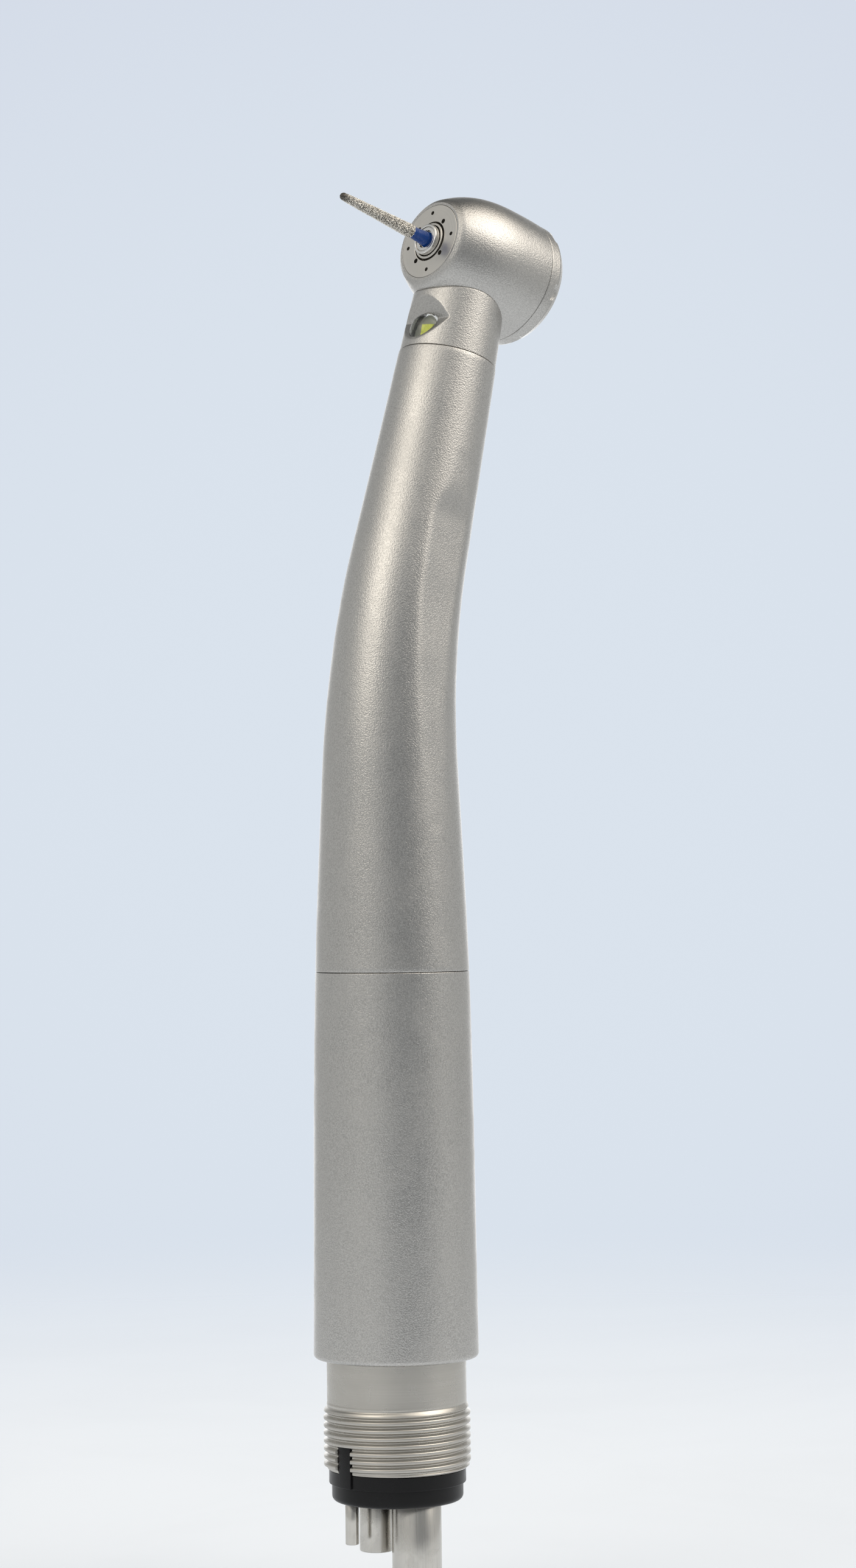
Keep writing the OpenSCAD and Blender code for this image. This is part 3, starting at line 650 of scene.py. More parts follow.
def settle(piece, finish, body=ROOT, stands_for=(), sharp=40):
    """Finishes a piece: shading, material, the body it rides on and what it replaces."""
    material = finish_named(finish)
    if not len(piece.data.materials):
        piece.data.materials.append(material)
    elif piece.data.materials[0] is None:
        piece.data.materials[0] = material
    piece.data.shade_smooth()
    piece.data.set_sharp_from_angle(angle=math.radians(sharp))
    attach(piece, body)
    if stands_for:
        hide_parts(*stands_for)
    return piece


def smooth_least(a, b, soft):
    """The smaller of two numbers, with a soft change from one to the other."""
    share = max(soft - abs(a - b), 0.0) / soft
    return min(a, b) - share * share * soft * 0.25


def between(x, table):
    """A smooth value at x from a table of (x, value)."""
    if x <= table[0][0]:
        return table[0][1]
    for (x0, v0), (x1, v1) in zip(table, table[1:]):
        if x <= x1:
            t = (x - x0) / (x1 - x0)
            return v0 + (v1 - v0) * t * t * (3 - 2 * t)
    return table[-1][1]


# ---- the body's form ----

# Half-angle of the soft flat on each side of the body, at distances along the centre line
FLAT_ANGLES = ((47, 0), (55, 12), (62, 18), (69, 23.4), (75.5, 24.6), (80, 7.3), (81.8, 0))
# Where the light collar starts on the neck's axis, and the length of the rear shell
COLLAR_Q = -10.0
REAR_L = SEAM_Z - RIM_Z
NECK_TILT = math.acos(NECK_WAY.z)


# Radius of the rear shell's bore, and inner and outer radius of the front shell's spigot
REAR_BORE = 6.12
SPIGOT_R = (5.35, 6.02)


class Body:
    """The swept body: its centre line, and its radius along it."""

    def __init__(self, size):
        bend_l = size.bend_r * NECK_TILT
        self.size = size
        self.bend_l = bend_l
        self.straight = size.straight_l
        self.bend_end = Vector((
            size.bend_r * (1 - math.cos(NECK_TILT)), 0,
            RIM_Z + size.straight_l + size.bend_r * math.sin(NECK_TILT)))
        neck_l = (HEAD_AT - self.bend_end).length
        self.end_s = size.straight_l + bend_l + neck_l + COLLAR_Q
        self.knots = ((0, size.rim_r), (REAR_L, size.seam_r), (62, size.waist_r),
                      (80, size.throat_r), (self.end_s, size.neck_r))

    def radius(self, s):
        """Radius at a distance along the centre line."""
        at, r = zip(*self.knots)
        rises = [(r[i + 1] - r[i]) / (at[i + 1] - at[i]) for i in range(len(at) - 1)]
        slopes = [rises[0], *((a + b) / 2 for a, b in zip(rises, rises[1:])), rises[-1]]
        i = max(0, min(len(at) - 2, sum(1 for x in at if x < s) - 1))
        w = at[i + 1] - at[i]
        t = (s - at[i]) / w
        return ((2 * t**3 - 3 * t**2 + 1) * r[i] + (t**3 - 2 * t**2 + t) * w * slopes[i]
                + (3 * t**2 - 2 * t**3) * r[i + 1] + (t**3 - t**2) * w * slopes[i + 1])

    def centre(self, s):
        """Centre of the body and its lean at a distance along it."""
        lean = max(0.0, min(NECK_TILT, (s - self.straight) / self.size.bend_r))
        if s <= self.straight:
            return Vector((0, 0, RIM_Z + s)), lean
        if s <= self.straight + self.bend_l:
            r = self.size.bend_r
            return Vector((r * (1 - math.cos(lean)), 0,
                           RIM_Z + self.straight + r * math.sin(lean))), lean
        return self.bend_end + (s - self.straight - self.bend_l) * NECK_WAY, lean

    def hoop(self, s, r, sides=160):
        """A ring of points square to the centre line, eased back to the side flats."""
        middle, lean = self.centre(s)
        flat = self.radius(s) * math.cos(math.radians(between(s, FLAT_ANGLES)))
        limit = flat - (self.radius(s) - r)
        points = []
        for i in range(sides):
            a = 2 * math.pi * i / sides
            x, y = r * math.cos(a), r * math.sin(a)
            if limit < r - 1e-6:
                y = math.copysign(smooth_least(abs(y), limit, 0.16), y)
            points.append(middle + Vector((x * math.cos(lean), y, -x * math.sin(lean))))
        return points


def make_rear_shell():
    """The straight rear shell, with its rounded rim and the fine edge at the seam."""
    size = sizes()
    body = Body(size)
    rim_bore, rim_depth, edge = size.relief_r + 0.03, 7.6, 0.38
    outside = [(body.radius(s), RIM_Z + s) for s in (2, 4, 8, 12, 16, 20, 24, 28, 31, 33.5)]
    corners = [
        (rim_bore, RIM_Z, 0.12), (size.rim_r, RIM_Z, edge), *outside,
        (size.seam_r, SEAM_Z - 0.02, 0.07), (REAR_BORE, SEAM_Z - 0.02),
        (REAR_BORE, RIM_Z + rim_depth), (rim_bore, RIM_Z + rim_depth)]
    piece = turned("rear_body", rounded(corners, steps=8), 192)
    return settle(piece, "body", stands_for=["rear_body_shell"], sharp=60)


def make_front_shell():
    """The front shell: tapered, bent, and softly flattened on both sides of the bend."""
    body = Body(sizes())
    wall = body.size.wall
    start, end = REAR_L + 0.02, body.end_s
    soft = [(0.0, 0.10), (0.012, 0.05), (0.045, 0.015), (0.09, 0.0)]
    steps = 110
    stations = [(start + ds, body.radius(start) - dr) for ds, dr in soft]
    for i in range(1, steps):
        s = start + (end - start) * i / steps
        stations.append((s, body.radius(s)))
    stations += [(end - ds, body.radius(end) - dr) for ds, dr in reversed(soft)]
    stations += [(end, body.radius(end) - wall)]
    for i in range(30, -1, -1):
        s = start + 3 + (end - start - 4) * i / 30
        stations.append((s, body.radius(s) - wall))
    inner, outer = SPIGOT_R
    stations += [(start + 2, inner), (start - 3, inner), (start - 3, outer), (start, outer)]
    rings = [body.hoop(s, r) for s, r in stations]
    piece = skin("front_body", rings, loop=True)
    return settle(piece, "body", stands_for=["front_body_shell"], sharp=60)


# ---- connector ----


def end_tree(tree, out, geometry, material):
    """Ends a Geometry Nodes tree with real geometry of one material."""
    real = put(tree, "GeometryNodeRealizeInstances", {"Geometry": geometry}).outputs[0]
    named = put(tree, "GeometryNodeSetMaterial", {
        "Geometry": real, "Material": material}).outputs[0]
    tree.links.new(named, out["Geometry"])
    return tree


# Lengths over which the thread's ends rise and run out, and how far the slot's edges are
# torn, in metres
FADE_IN, FADE_OUT, JAG = 0.00035, 0.0011, 0.00012


def thread_lift(tree, given, x, y, z):
    """Height of the helical ridge at a place, with its ends faded."""
    turns = calc(tree, "DIVIDE", calc(tree, "ARCTAN2", y, x), 2 * math.pi)
    rise = calc(tree, "SUBTRACT", calc(tree, "DIVIDE", z, given["Pitch"]), turns)
    phase = calc(tree, "FRACT", rise)
    up = spread(tree, phase, 0.02, 0.30)
    down = spread(tree, phase, 0.60, 0.90, 1.0, 0.0)
    faded_in = calc(tree, "ADD", given["Start"], FADE_IN)
    faded_out = calc(tree, "SUBTRACT", given["End"], FADE_OUT)
    runout = calc(tree, "MULTIPLY", spread(tree, z, given["Start"], faded_in),
                  spread(tree, z, faded_out, given["End"], 1.0, 0.0))
    ridge = calc(tree, "MULTIPLY", calc(tree, "MULTIPLY", up, down), runout)
    return calc(tree, "MULTIPLY", ridge, given["Depth"])


def slot_mask(tree, given, position, x, y, z):
    """1 in the slot across the thread, which has slightly torn edges, and 0 elsewhere."""
    torn = put(tree, "ShaderNodeTexNoise", {"Vector": position, "Scale": 900.0})
    jag = calc(tree, "MULTIPLY", calc(tree, "SUBTRACT", torn.outputs["Fac"], 0.5), JAG)
    width = calc(tree, "ADD", given["Slot half width"], jag)
    across = calc(tree, "LESS_THAN", calc(tree, "ABSOLUTE", y), width)
    behind = calc(tree, "LESS_THAN", x, 0.0)
    under = calc(tree, "LESS_THAN", z, given["Slot top"])
    return calc(tree, "MULTIPLY", across, calc(tree, "MULTIPLY", behind, under))


def thread_tree():
    """Raises a right-hand helical thread on a turned neck, with a slot across it."""
    tree, given, out = new_tree(
        "Helical thread", "GeometryNodeTree",
        {"Geometry": (GEOMETRY, None), "Pitch": (FLOAT, 0.000685),
         "Depth": (FLOAT, 0.00033), "Start": (FLOAT, 0.0029), "End": (FLOAT, 0.0086),
         "Slot half width": (FLOAT, 0.0008), "Slot top": (FLOAT, 0.0053),
         "Slot depth": (FLOAT, 0.0005), "Least radius": (FLOAT, 0.0062),
         "Material": (MATERIAL, None)},
        {"Geometry": (GEOMETRY, None)})
    position = put(tree, "GeometryNodeInputPosition").outputs[0]
    x, y, z = put(tree, "ShaderNodeSeparateXYZ", {0: position}).outputs
    in_slot = slot_mask(tree, given, position, x, y, z)
    raised = calc(tree, "MULTIPLY", thread_lift(tree, given, x, y, z),
                  calc(tree, "SUBTRACT", 1.0, in_slot))
    lift = calc(tree, "SUBTRACT", raised, calc(tree, "MULTIPLY", in_slot, given["Slot depth"]))
    outer = calc(tree, "GREATER_THAN", distance_out(tree, x, y), given["Least radius"])
    flat = put(tree, "ShaderNodeCombineXYZ", {0: x, 1: y, 2: 0.0}).outputs[0]
    way = put(tree, "ShaderNodeVectorMath", {0: flat}, operation="NORMALIZE").outputs[0]
    offset = put(tree, "ShaderNodeVectorMath", {
        0: way, "Scale": calc(tree, "MULTIPLY", lift, outer)}, operation="SCALE").outputs[0]
    moved = put(tree, "GeometryNodeSetPosition", {
        "Geometry": given["Geometry"], "Offset": offset}).outputs[0]
    return end_tree(tree, out, moved, given["Material"])


# Heights of the thread's ends and of the seat's flange, and radius of the connector's bore
THREAD_Z = (2.85, 8.9)
FLANGE_Z = 1.6
CONNECTOR_BORE = 5.6


def make_connector():
    """The threaded neck: relief, helical thread with its runout, and the key's slot."""
    size = sizes()
    z0, z1 = THREAD_Z
    top = RIM_Z + 6.2
    rows = 112
    step = (z1 - z0 - 0.06) / rows
    outline = [(CONNECTOR_BORE, z0), (size.relief_r - 0.12, z0),
               (size.relief_r - 0.04, z0 + 0.03)]
    outline += [(size.relief_r, z0 + 0.06 + step * i) for i in range(rows + 1)]
    outline += [(size.relief_r, h) for h in (z1 + 1, RIM_Z, top)]
    outline += [(CONNECTOR_BORE, top)]
    piece = turned("thread_neck", outline, 250)
    with_nodes(piece, thread_tree(), {
        "Pitch": size.thread_pitch * MM, "Depth": (size.thread_r - size.relief_r) * MM,
        "Start": (z0 + 0.02) * MM, "End": z1 * MM, "Slot half width": size.slot_w / 2 * MM,
        "Material": finish_named("thread")})
    return settle(piece, "thread", stands_for=["threaded_connector"],
                  sharp=70)


# Tubes of the pattern: place along it and across it, outer radius, wall, and reach
TUBES = {
    "exhaust_tube": (2.05, 0.0, 2.22, 0.30, 10.5),
    "drive_air_tube": (-2.39, 0.0, 1.55, 0.30, 4.8),
    "water_tube": (-2.5, 3.53, 0.60, 0.22, 3.75),
    "chip_air_tube": (-2.5, -3.53, 0.60, 0.22, 3.75)}
TUBE_TOP = 15.5
LARGE_TUBES = ("exhaust_tube", "drive_air_tube")


def tube_frame(along, across):
    """The frame of a tube of the connector's pattern."""
    turn = Matrix.Rotation(sizes().tube_turn, 4, "Z")
    return Matrix.Translation(turn @ Vector((along, across, 0)))


def make_tubes():
    """The four hose tubes, with rolled ends and a slim part where they are in the seat."""
    for name, (along, across, r, wall, out) in TUBES.items():
        roll = 0.3 if name == "drive_air_tube" else 0.1
        corners = [
            (r - wall, -out, wall * 0.3), (r, -out, roll), (r, -out / 2), (r, -0.3),
            (r - 0.03, -0.25), (r - 0.03, TUBE_TOP), (r - wall, TUBE_TOP)]
        piece = turned(f"{name}_drawn", rounded(corners, steps=6), 96,
                       tube_frame(along, across))
        settle(piece, "tube", stands_for=[name], sharp=60)


def tube_boss(name):
    """The low boss of the seat round a large tube."""
    along, across, r = TUBES[name][:3]
    inside, outside = r - 0.5, r + 0.46
    boss = [(inside, -0.2), (r + 0.28, -0.2, 0.14), (outside, 0.05, 0.05), (outside, 1),
            (inside, 1)]
    return turned("boss", rounded(boss), 96, tube_frame(along, across))


def tube_hole(name):
    """The cutter of a tube's hole in the seat, a little wider than the tube."""
    along, across, r = TUBES[name][:3]
    r += 0.01 if name in LARGE_TUBES else 0.02
    return turned("hole", [(0, -1), (r, -1), (r, 8), (0, 8)], 96, tube_frame(along, across))


def make_seat():
    """The black seat that holds the tubes, with its flange, key and low bosses."""
    size = sizes()
    lip, lip_top = size.seat_r + 0.25, THREAD_Z[0] - 0.02
    stem_r, top = 5.55, 7.5
    corners = [
        (0, 0), (size.seat_r, 0, 0.5), (size.seat_r, FLANGE_Z, 0.04),
        (lip, FLANGE_Z, 0.07), (lip, lip_top, 0.05), (stem_r, lip_top),
        (stem_r, top), (0, top)]
    piece = turned("tube_seat_moulded", rounded(corners, steps=8, closed=False), 160)
    key = bevelled_box("key", (-6.3, 0.04 - size.slot_w / 2, FLANGE_Z + 0.05),
                       (-5.0, size.slot_w / 2 - 0.04, 5.3), 0.06)
    carved(piece, [key, *(tube_boss(name) for name in LARGE_TUBES)], "UNION")
    carved(piece, [tube_hole(name) for name in TUBES])
    cleaned(piece)
    return settle(piece, "black", stands_for=["tube_seat"], sharp=35)


def bevelled_box(name, low, high, bevel):
    """A box between two corners with bevelled edges."""
    bm = bmesh.new()
    bmesh.ops.create_cube(bm, size=1)
    low, high = Vector(low) * MM, Vector(high) * MM
    for vert in bm.verts:
        vert.co = Vector(low[i] + (vert.co[i] + 0.5) * (high[i] - low[i]) for i in range(3))
    bmesh.ops.bevel(bm, geom=bm.edges, offset=bevel * MM, segments=3, affect="EDGES",
                    profile=0.5)
    mesh = bpy.data.meshes.new(name)
    bm.to_mesh(mesh)
    bm.free()
    return link(name, mesh)


# ---- light collar ----

# The recess: where its two slopes meet, and their ends, as (x, q) in the neck's frame, q
# being the height on the neck
VALLEY = (-3.2, -7.15)
RECESS_TOP = (-4.33, -4.95)
RECESS_LOW = (-4.5, -9.5)

# The collar's cone as two (q, r), its low edge, the length of its spigot, the radius of
# its lip, and the lip's gap to the head
CONE = ((-9.97, 4.47), (-0.97, 4.10))
COLLAR_LOW = COLLAR_Q + 0.03
SPIGOT_L = 2.4
LIP = 0.22
LIP_GAP = 0.04

# The lens: the middle and the radius of its dome, and the radius of its stem
LENS_AT = (VALLEY[0] + 0.45, 0, -8.2)
LENS_R = 1.8
STEM_R = 1.17


def cone_r(q):
    """Radius of the collar's cone at a height on the neck."""
    (q0, r0), (q1, r1) = CONE
    return r0 + (r1 - r0) * (q - q0) / (q1 - q0)


def recess_depth(q):
    """Distance of the recess's slopes from the neck's axis, on the bur's side."""
    x0, q0 = VALLEY
    upper = -x0 + (q - q0) * (RECESS_TOP[0] - x0) / (q0 - RECESS_TOP[1])
    lower = -x0 + (q - q0) * (RECESS_LOW[0] - x0) / (q0 - RECESS_LOW[1])
    return -smooth_least(-upper, -lower, 0.12)


def head_radius(u):
    """Outer radius of the head at a distance behind the face: domed, straight, tapered."""
    size = sizes()
    dome_l, taper_from, taper = 7.5, 8.8, 0.036
    rise = max(0.0, (dome_l - u) / dome_l)
    domed = size.head_r - (size.head_r - size.face_r) * rise**2.65
    return domed - max(0, u - taper_from) * taper


def collar_surface(angle, q):
    """Radius of the collar's outside at an angle and height."""
    r = cone_r(q)
    facing = -math.cos(angle)
    if facing > 0.2:
        r = smooth_least(r, recess_depth(q) / facing, 0.09)
    return r


def drum_top(size, angle, r):
    """Height on the neck where the head's drum stands at a point of the collar."""
    x, y = r * math.cos(angle), r * math.sin(angle)
    drum = head_radius(size.face_h + x)
    return -math.sqrt(max(drum * drum - y * y, 0.0))


def circle_points(angles, r, q, x_off=0.0):
    """A ring of points at one height, or at a height for each angle."""
    heights = q if isinstance(q, list) else [q] * len(angles)
    return [(x_off + r * math.cos(a), r * math.sin(a), h) for a, h in zip(angles, heights)]


def collar_sides(angles, tops, rows=120):
    """The collar's outside, row by row, from its low edge to the start of its lip."""
    low = COLLAR_LOW + 0.05
    rings = []
    for row in range(rows + 1):
        ring = []
        for a, top in zip(angles, tops):
            q = low + (top - LIP_GAP - LIP - COLLAR_LOW - 0.05) * row / rows
            r = collar_surface(a, q)
            ring.append((r * math.cos(a), r * math.sin(a), q))
        rings.append(ring)
    return rings


def collar_lip(angles, tops, steps=7):
    """The rounded lip that follows the head's drum."""
    rings = []
    for step in range(1, steps + 1):
        turn = math.radians(90 * step / steps)
        ring = []
        for a, top in zip(angles, tops):
            r = collar_surface(a, top - LIP_GAP - LIP) - LIP * (1 - math.cos(turn))
            q = top - LIP_GAP - LIP + LIP * math.sin(turn)
            ring.append((r * math.cos(a), r * math.sin(a), q))
        rings.append(ring)
    return rings


def make_collar():
    """The light collar: a tapered ring with a two-slope recess and a lip round the head."""
    size = sizes()
    sides = 320
    spigot_r, bore, bore_off = 3.72, 2.92, 0.45
    angles = [2 * math.pi * i / sides for i in range(sides)]
    tops = [drum_top(size, a, cone_r(-4.6)) for a in angles]
    foot = COLLAR_LOW - SPIGOT_L
    rings = [circle_points(angles, spigot_r, foot), circle_points(angles, spigot_r, COLLAR_LOW),
             circle_points(angles, cone_r(COLLAR_LOW) - 0.07, COLLAR_LOW)]
    rings += collar_sides(angles, tops) + collar_lip(angles, tops)
    for drop in (0.45, 0.9):
        r = cone_r(-5) - drop
        rings.append(circle_points(angles, r, [drum_top(size, a, r) - 0.03 for a in angles]))
    bore_tops = [drum_top(size, a, bore) - 0.05 for a in angles]
    rings += [circle_points(angles, bore, bore_tops, bore_off),
              circle_points(angles, bore, foot, bore_off)]
    piece = skin("light_collar_turned", rings, NECK, loop=True)
    seat = turned("seat", lens_outline(0.03, STEM_R + 0.07, -1.6), 96, lens_frame())
    carved(piece, [seat])
    cleaned(piece)
    return settle(piece, "body", stands_for=["light_collar"], sharp=50)


def lens_frame():
    """The lens's frame: +Z out of the recess, centred on its sphere."""
    return frame_at(NECK_WAY, SIDE_WAY, BUR_WAY, NECK @ Vector(LENS_AT))


def lens_outline(gap, stem, back):
    """A dome on a stem, as (r, h) from the dome's pole to its back."""
    r = LENS_R + gap
    dome = [(r * math.sin(math.radians(a)), r * math.cos(math.radians(a)))
            for a in range(0, 78, 6)]
    return [(0, r), *dome[1:], (dome[-1][0], 0.28), (stem, 0.26), (stem, back), (0, back)]


def make_lens():
    """The clear dome over the light."""
    piece = turned("light_lens_dome", lens_outline(0.0, STEM_R, -0.2), 96, lens_frame())
    return settle(piece, "lens", stands_for=["light_lens"], sharp=50)


# ---- head ----

# Distances of the cap's joint and of its back behind the face, and depth of the face plate
JOINT_U = 10.2
BACK_U = 12.2
PLATE_DEPTH = 0.9


def make_head():
    """The head: a turned drum with a thin bevel round its face and the turbine's room."""
    size = sizes()
    joint_h = size.face_h - JOINT_U
    web_h, web_r, chamber_h, chamber_r, thread_r = 3.1, 2.62, 0.6, 3.65, 4.45
    floor_h = size.face_h - PLATE_DEPTH
    outside = [(head_radius(u), size.face_h - u) for u in
               (0.3, 0.6, 1, 1.5, 2, 2.5, 3, 3.5, 4, 4.5, 5, 5.5, 6, 6.5, 7, 7.5, 8.2, 9)]
    pocket = size.plate_r + 0.02
    corners = [
        (pocket, floor_h), (pocket, size.face_h - 0.03, 0.03),
        (head_radius(0) - 0.16, size.face_h - 0.03, 0.05),
        (head_radius(0) + 0.01, size.face_h - 0.16, 0.06), *outside,
        (head_radius(JOINT_U), joint_h + 0.02, 0.08), (thread_r, joint_h + 0.02),
        (thread_r, chamber_h), (chamber_r, chamber_h), (chamber_r, web_h), (web_r, web_h),
        (web_r, floor_h)]
    piece = turned("head_drum", rounded(corners, steps=4), 192, HEAD)
    return settle(piece, "body", stands_for=["head_housing"], sharp=50)


def round_cutters(tree, count, ring, sides, radius, depth, turn, height):
    """Upright cylinders at even places of a ring about the Z axis, turned and lifted."""
    circle = put(tree, "GeometryNodeMeshCircle", {"Vertices": count, "Radius": ring})
    cutter = put(tree, "GeometryNodeMeshCylinder", {
        "Vertices": sides, "Radius": radius, "Depth": depth})
    placed = put(tree, "GeometryNodeInstanceOnPoints", {
        "Points": circle.outputs[0], "Instance": cutter.outputs[0]}).outputs[0]
    spin = put(tree, "ShaderNodeCombineXYZ", {0: 0.0, 1: 0.0, 2: turn}).outputs[0]
    lift = put(tree, "ShaderNodeCombineXYZ", {0: 0.0, 1: 0.0, 2: height}).outputs[0]
    return put(tree, "GeometryNodeTransform", {
        "Geometry": placed, "Translation": lift, "Rotation": spin}).outputs[0]


def cut_away(tree, geometry, cutters):
    """Cuts every cutter out of a geometry."""
    joined = tree.nodes.new("GeometryNodeJoinGeometry")
    for cutter in cutters:
        tree.links.new(cutter, joined.inputs[0])
    solid = put(tree, "GeometryNodeRealizeInstances", {"Geometry": joined.outputs[0]})
    return put(tree, "GeometryNodeMeshBoolean", {
        "Mesh 1": geometry, "Mesh 2": solid.outputs[0]}, operation="DIFFERENCE",
        solver="EXACT").outputs[0]


def spray_tree():
    """Drills two rings of four holes through a plate."""
    tree, given, out = new_tree(
        "Spray holes", "GeometryNodeTree",
        {"Geometry": (GEOMETRY, None), "Outer ring": (FLOAT, 0.00283),
         "Outer hole": (FLOAT, 0.00019), "Inner ring": (FLOAT, 0.00223),
         "Inner hole": (FLOAT, 0.000235), "Depth": (FLOAT, 0.003), "Turn": (FLOAT, 0.0),
         "Height": (FLOAT, 0.004), "Material": (MATERIAL, None)},
        {"Geometry": (GEOMETRY, None)})
    drills = []
    for ring, hole, more in (("Outer ring", "Outer hole", 0.0),
                             ("Inner ring", "Inner hole", math.pi / 4)):
        turn = calc(tree, "ADD", given["Turn"], more)
        drills.append(round_cutters(tree, 4, given[ring], 40, given[hole], given["Depth"],
                                    turn, given["Height"]))
    cut = cut_away(tree, given["Geometry"], drills)
    return end_tree(tree, out, cut, given["Material"])


def placed_in(piece, at):
    """Moves a piece's mesh from the local frame, in metres, to its place."""
    piece.data.transform(Matrix.Translation(at.to_translation() * MM) @ at.to_3x3().to_4x4())
    return piece


def make_face_plate():
    """The turned insert of the face, with its two rings of spray holes."""
    size = sizes()
    top = size.face_h
    hole_r, back = 1.9, top - PLATE_DEPTH
    corners = [(hole_r, back), (hole_r, top - 0.02, 0.05),
               (size.plate_r, top - 0.02, 0.04), (size.plate_r, back)]
    piece = turned("face_insert", rounded(corners), 160)
    with_nodes(piece, spray_tree(), {
        "Turn": size.spray_turn, "Height": (top - 0.4) * MM,
        "Material": finish_named("face")})
    placed_in(cleaned(piece), HEAD)
    return settle(piece, "face", stands_for=["face_plate"], sharp=35)


def make_nose_ring(size):
    """The fixed ring in the face's opening, with its hidden flange."""
    inner, outer, flange_r = size.nose_r + 0.07, 1.74, 2.6
    top, flange_low, flange_top = size.face_h + 0.1, 3.2, 3.5
    ring = [(inner, flange_low), (inner, top, 0.05), (outer, top, 0.07), (outer, flange_top),
            (flange_r, flange_top), (flange_r, flange_low)]
    piece = turned("nose_ring", rounded(ring), 128, HEAD)
    settle(piece, "face", stands_for=["nose_bushing"], sharp=35)


def make_spindle(size):
    """The turning spindle: the chuck's mouth, a groove round it, and the stem behind."""
    tip = size.face_h + 0.6
    mouth, collet_r, step = size.shank_r + 0.05, 1.2, 1.14
    stem_r, shoulder, collet_low, back, back_r = 1.58, 3.1, -4.9, -5.38, 0.8
    profile = [
        (mouth, 3.9), (mouth, tip - 0.06, 0.04), (step, tip - 0.06, 0.04),
        (step, tip - 0.22, 0.03), (step + 0.05, tip - 0.2, 0.02), (step + 0.07, tip, 0.05),
        (size.nose_r, tip, 0.28), (size.nose_r, shoulder), (stem_r, shoulder), (stem_r, back),
        (back_r, back), (back_r, collet_low), (collet_r, collet_low), (collet_r, 3.9)]
    piece = turned("chuck_spindle", rounded(profile, steps=6), 128, HEAD)
    settle(piece, "polished", "turbine_rotor", ["spindle"], sharp=35)


def make_nose():
    """The fixed ring in the face's opening, and the turning nose of the chuck in it."""
    size = sizes()
    make_nose_ring(size)
    make_spindle(size)


def notch_tree():
    """Cuts a ring of even notches into the edge of a cap."""
    tree, given, out = new_tree(
        "Cap notches", "GeometryNodeTree",
        {"Geometry": (GEOMETRY, None), "Count": (WHOLE, 6),
         "Ring": (FLOAT, 0.00712), "Radius": (FLOAT, 0.0015), "Height": (FLOAT, -0.007),
         "Depth": (FLOAT, 0.0017), "Turn": (FLOAT, 0.26),
         "Material": (MATERIAL, None)},
        {"Geometry": (GEOMETRY, None)})
    cutters = round_cutters(tree, given["Count"], given["Ring"], 64, given["Radius"],
                            given["Depth"], given["Turn"], given["Height"])
    cut = cut_away(tree, given["Geometry"], [cutters])
    return end_tree(tree, out, cut, given["Material"])


def make_cap():
    """The back cap, with its rounded edge and six notches for a spanner."""
    size = sizes()
    joint, back = size.face_h - JOINT_U - 0.01, size.face_h - BACK_U
    edge, hole = size.head_r - 0.07, size.button_r + 0.06
    seat_r, thread_r, bore, web = 3.64, 4.38, 1.2, (-5.42, -5.75)
    outline = rounded([
        (bore, web[0]), (seat_r, web[0]), (seat_r, -2.7), (thread_r, -2.7), (thread_r, joint),
        (edge, joint, 0.08), (size.head_r - 0.08, back + 0.9, 0.5),
        (size.head_r - 0.75, back, 0.45), (hole, back, 0.08), (hole, back + 0.36),
        (4.25, back + 0.36), (4.25, web[1]), (bore, web[1])], steps=6)
    piece = turned("back_cap_turned", outline, 192)
    with_nodes(piece, notch_tree(), {
        "Ring": (size.head_r + 1.15) * MM, "Height": (back + 0.35) * MM,
        "Turn": math.radians(15), "Material": finish_named("body")})
    placed_in(cleaned(piece), HEAD)
    return settle(piece, "body", stands_for=["back_cap"], sharp=35)


def make_button():
    """The push button: a shallow dome with a rounded edge and a fine ring."""
    size = sizes()
    back = size.face_h - BACK_U
    edge, flange = size.button_r, 4.1
    face = [(0, -0.36), (1.6, -0.34), (2.7, -0.28), (2.95, -0.26, 0.04), (3.0, -0.20, 0.03),
            (3.1, -0.20, 0.03), (3.15, -0.24, 0.04), (edge - 0.1, -0.14, 0.2),
            (edge, 0.1, 0.1), (edge, 0.38), (flange, 0.38), (flange, 0.7), (0, 0.7)]
    outline = rounded([(r, back + h, *fillet) for r, h, *fillet in face], closed=False)
    piece = turned("push_button_dome", outline, 160, HEAD)
    return settle(piece, "button", "button", ["push_button"], sharp=35)


# ---- bur ----

# Length of the bur
BUR_L = 19


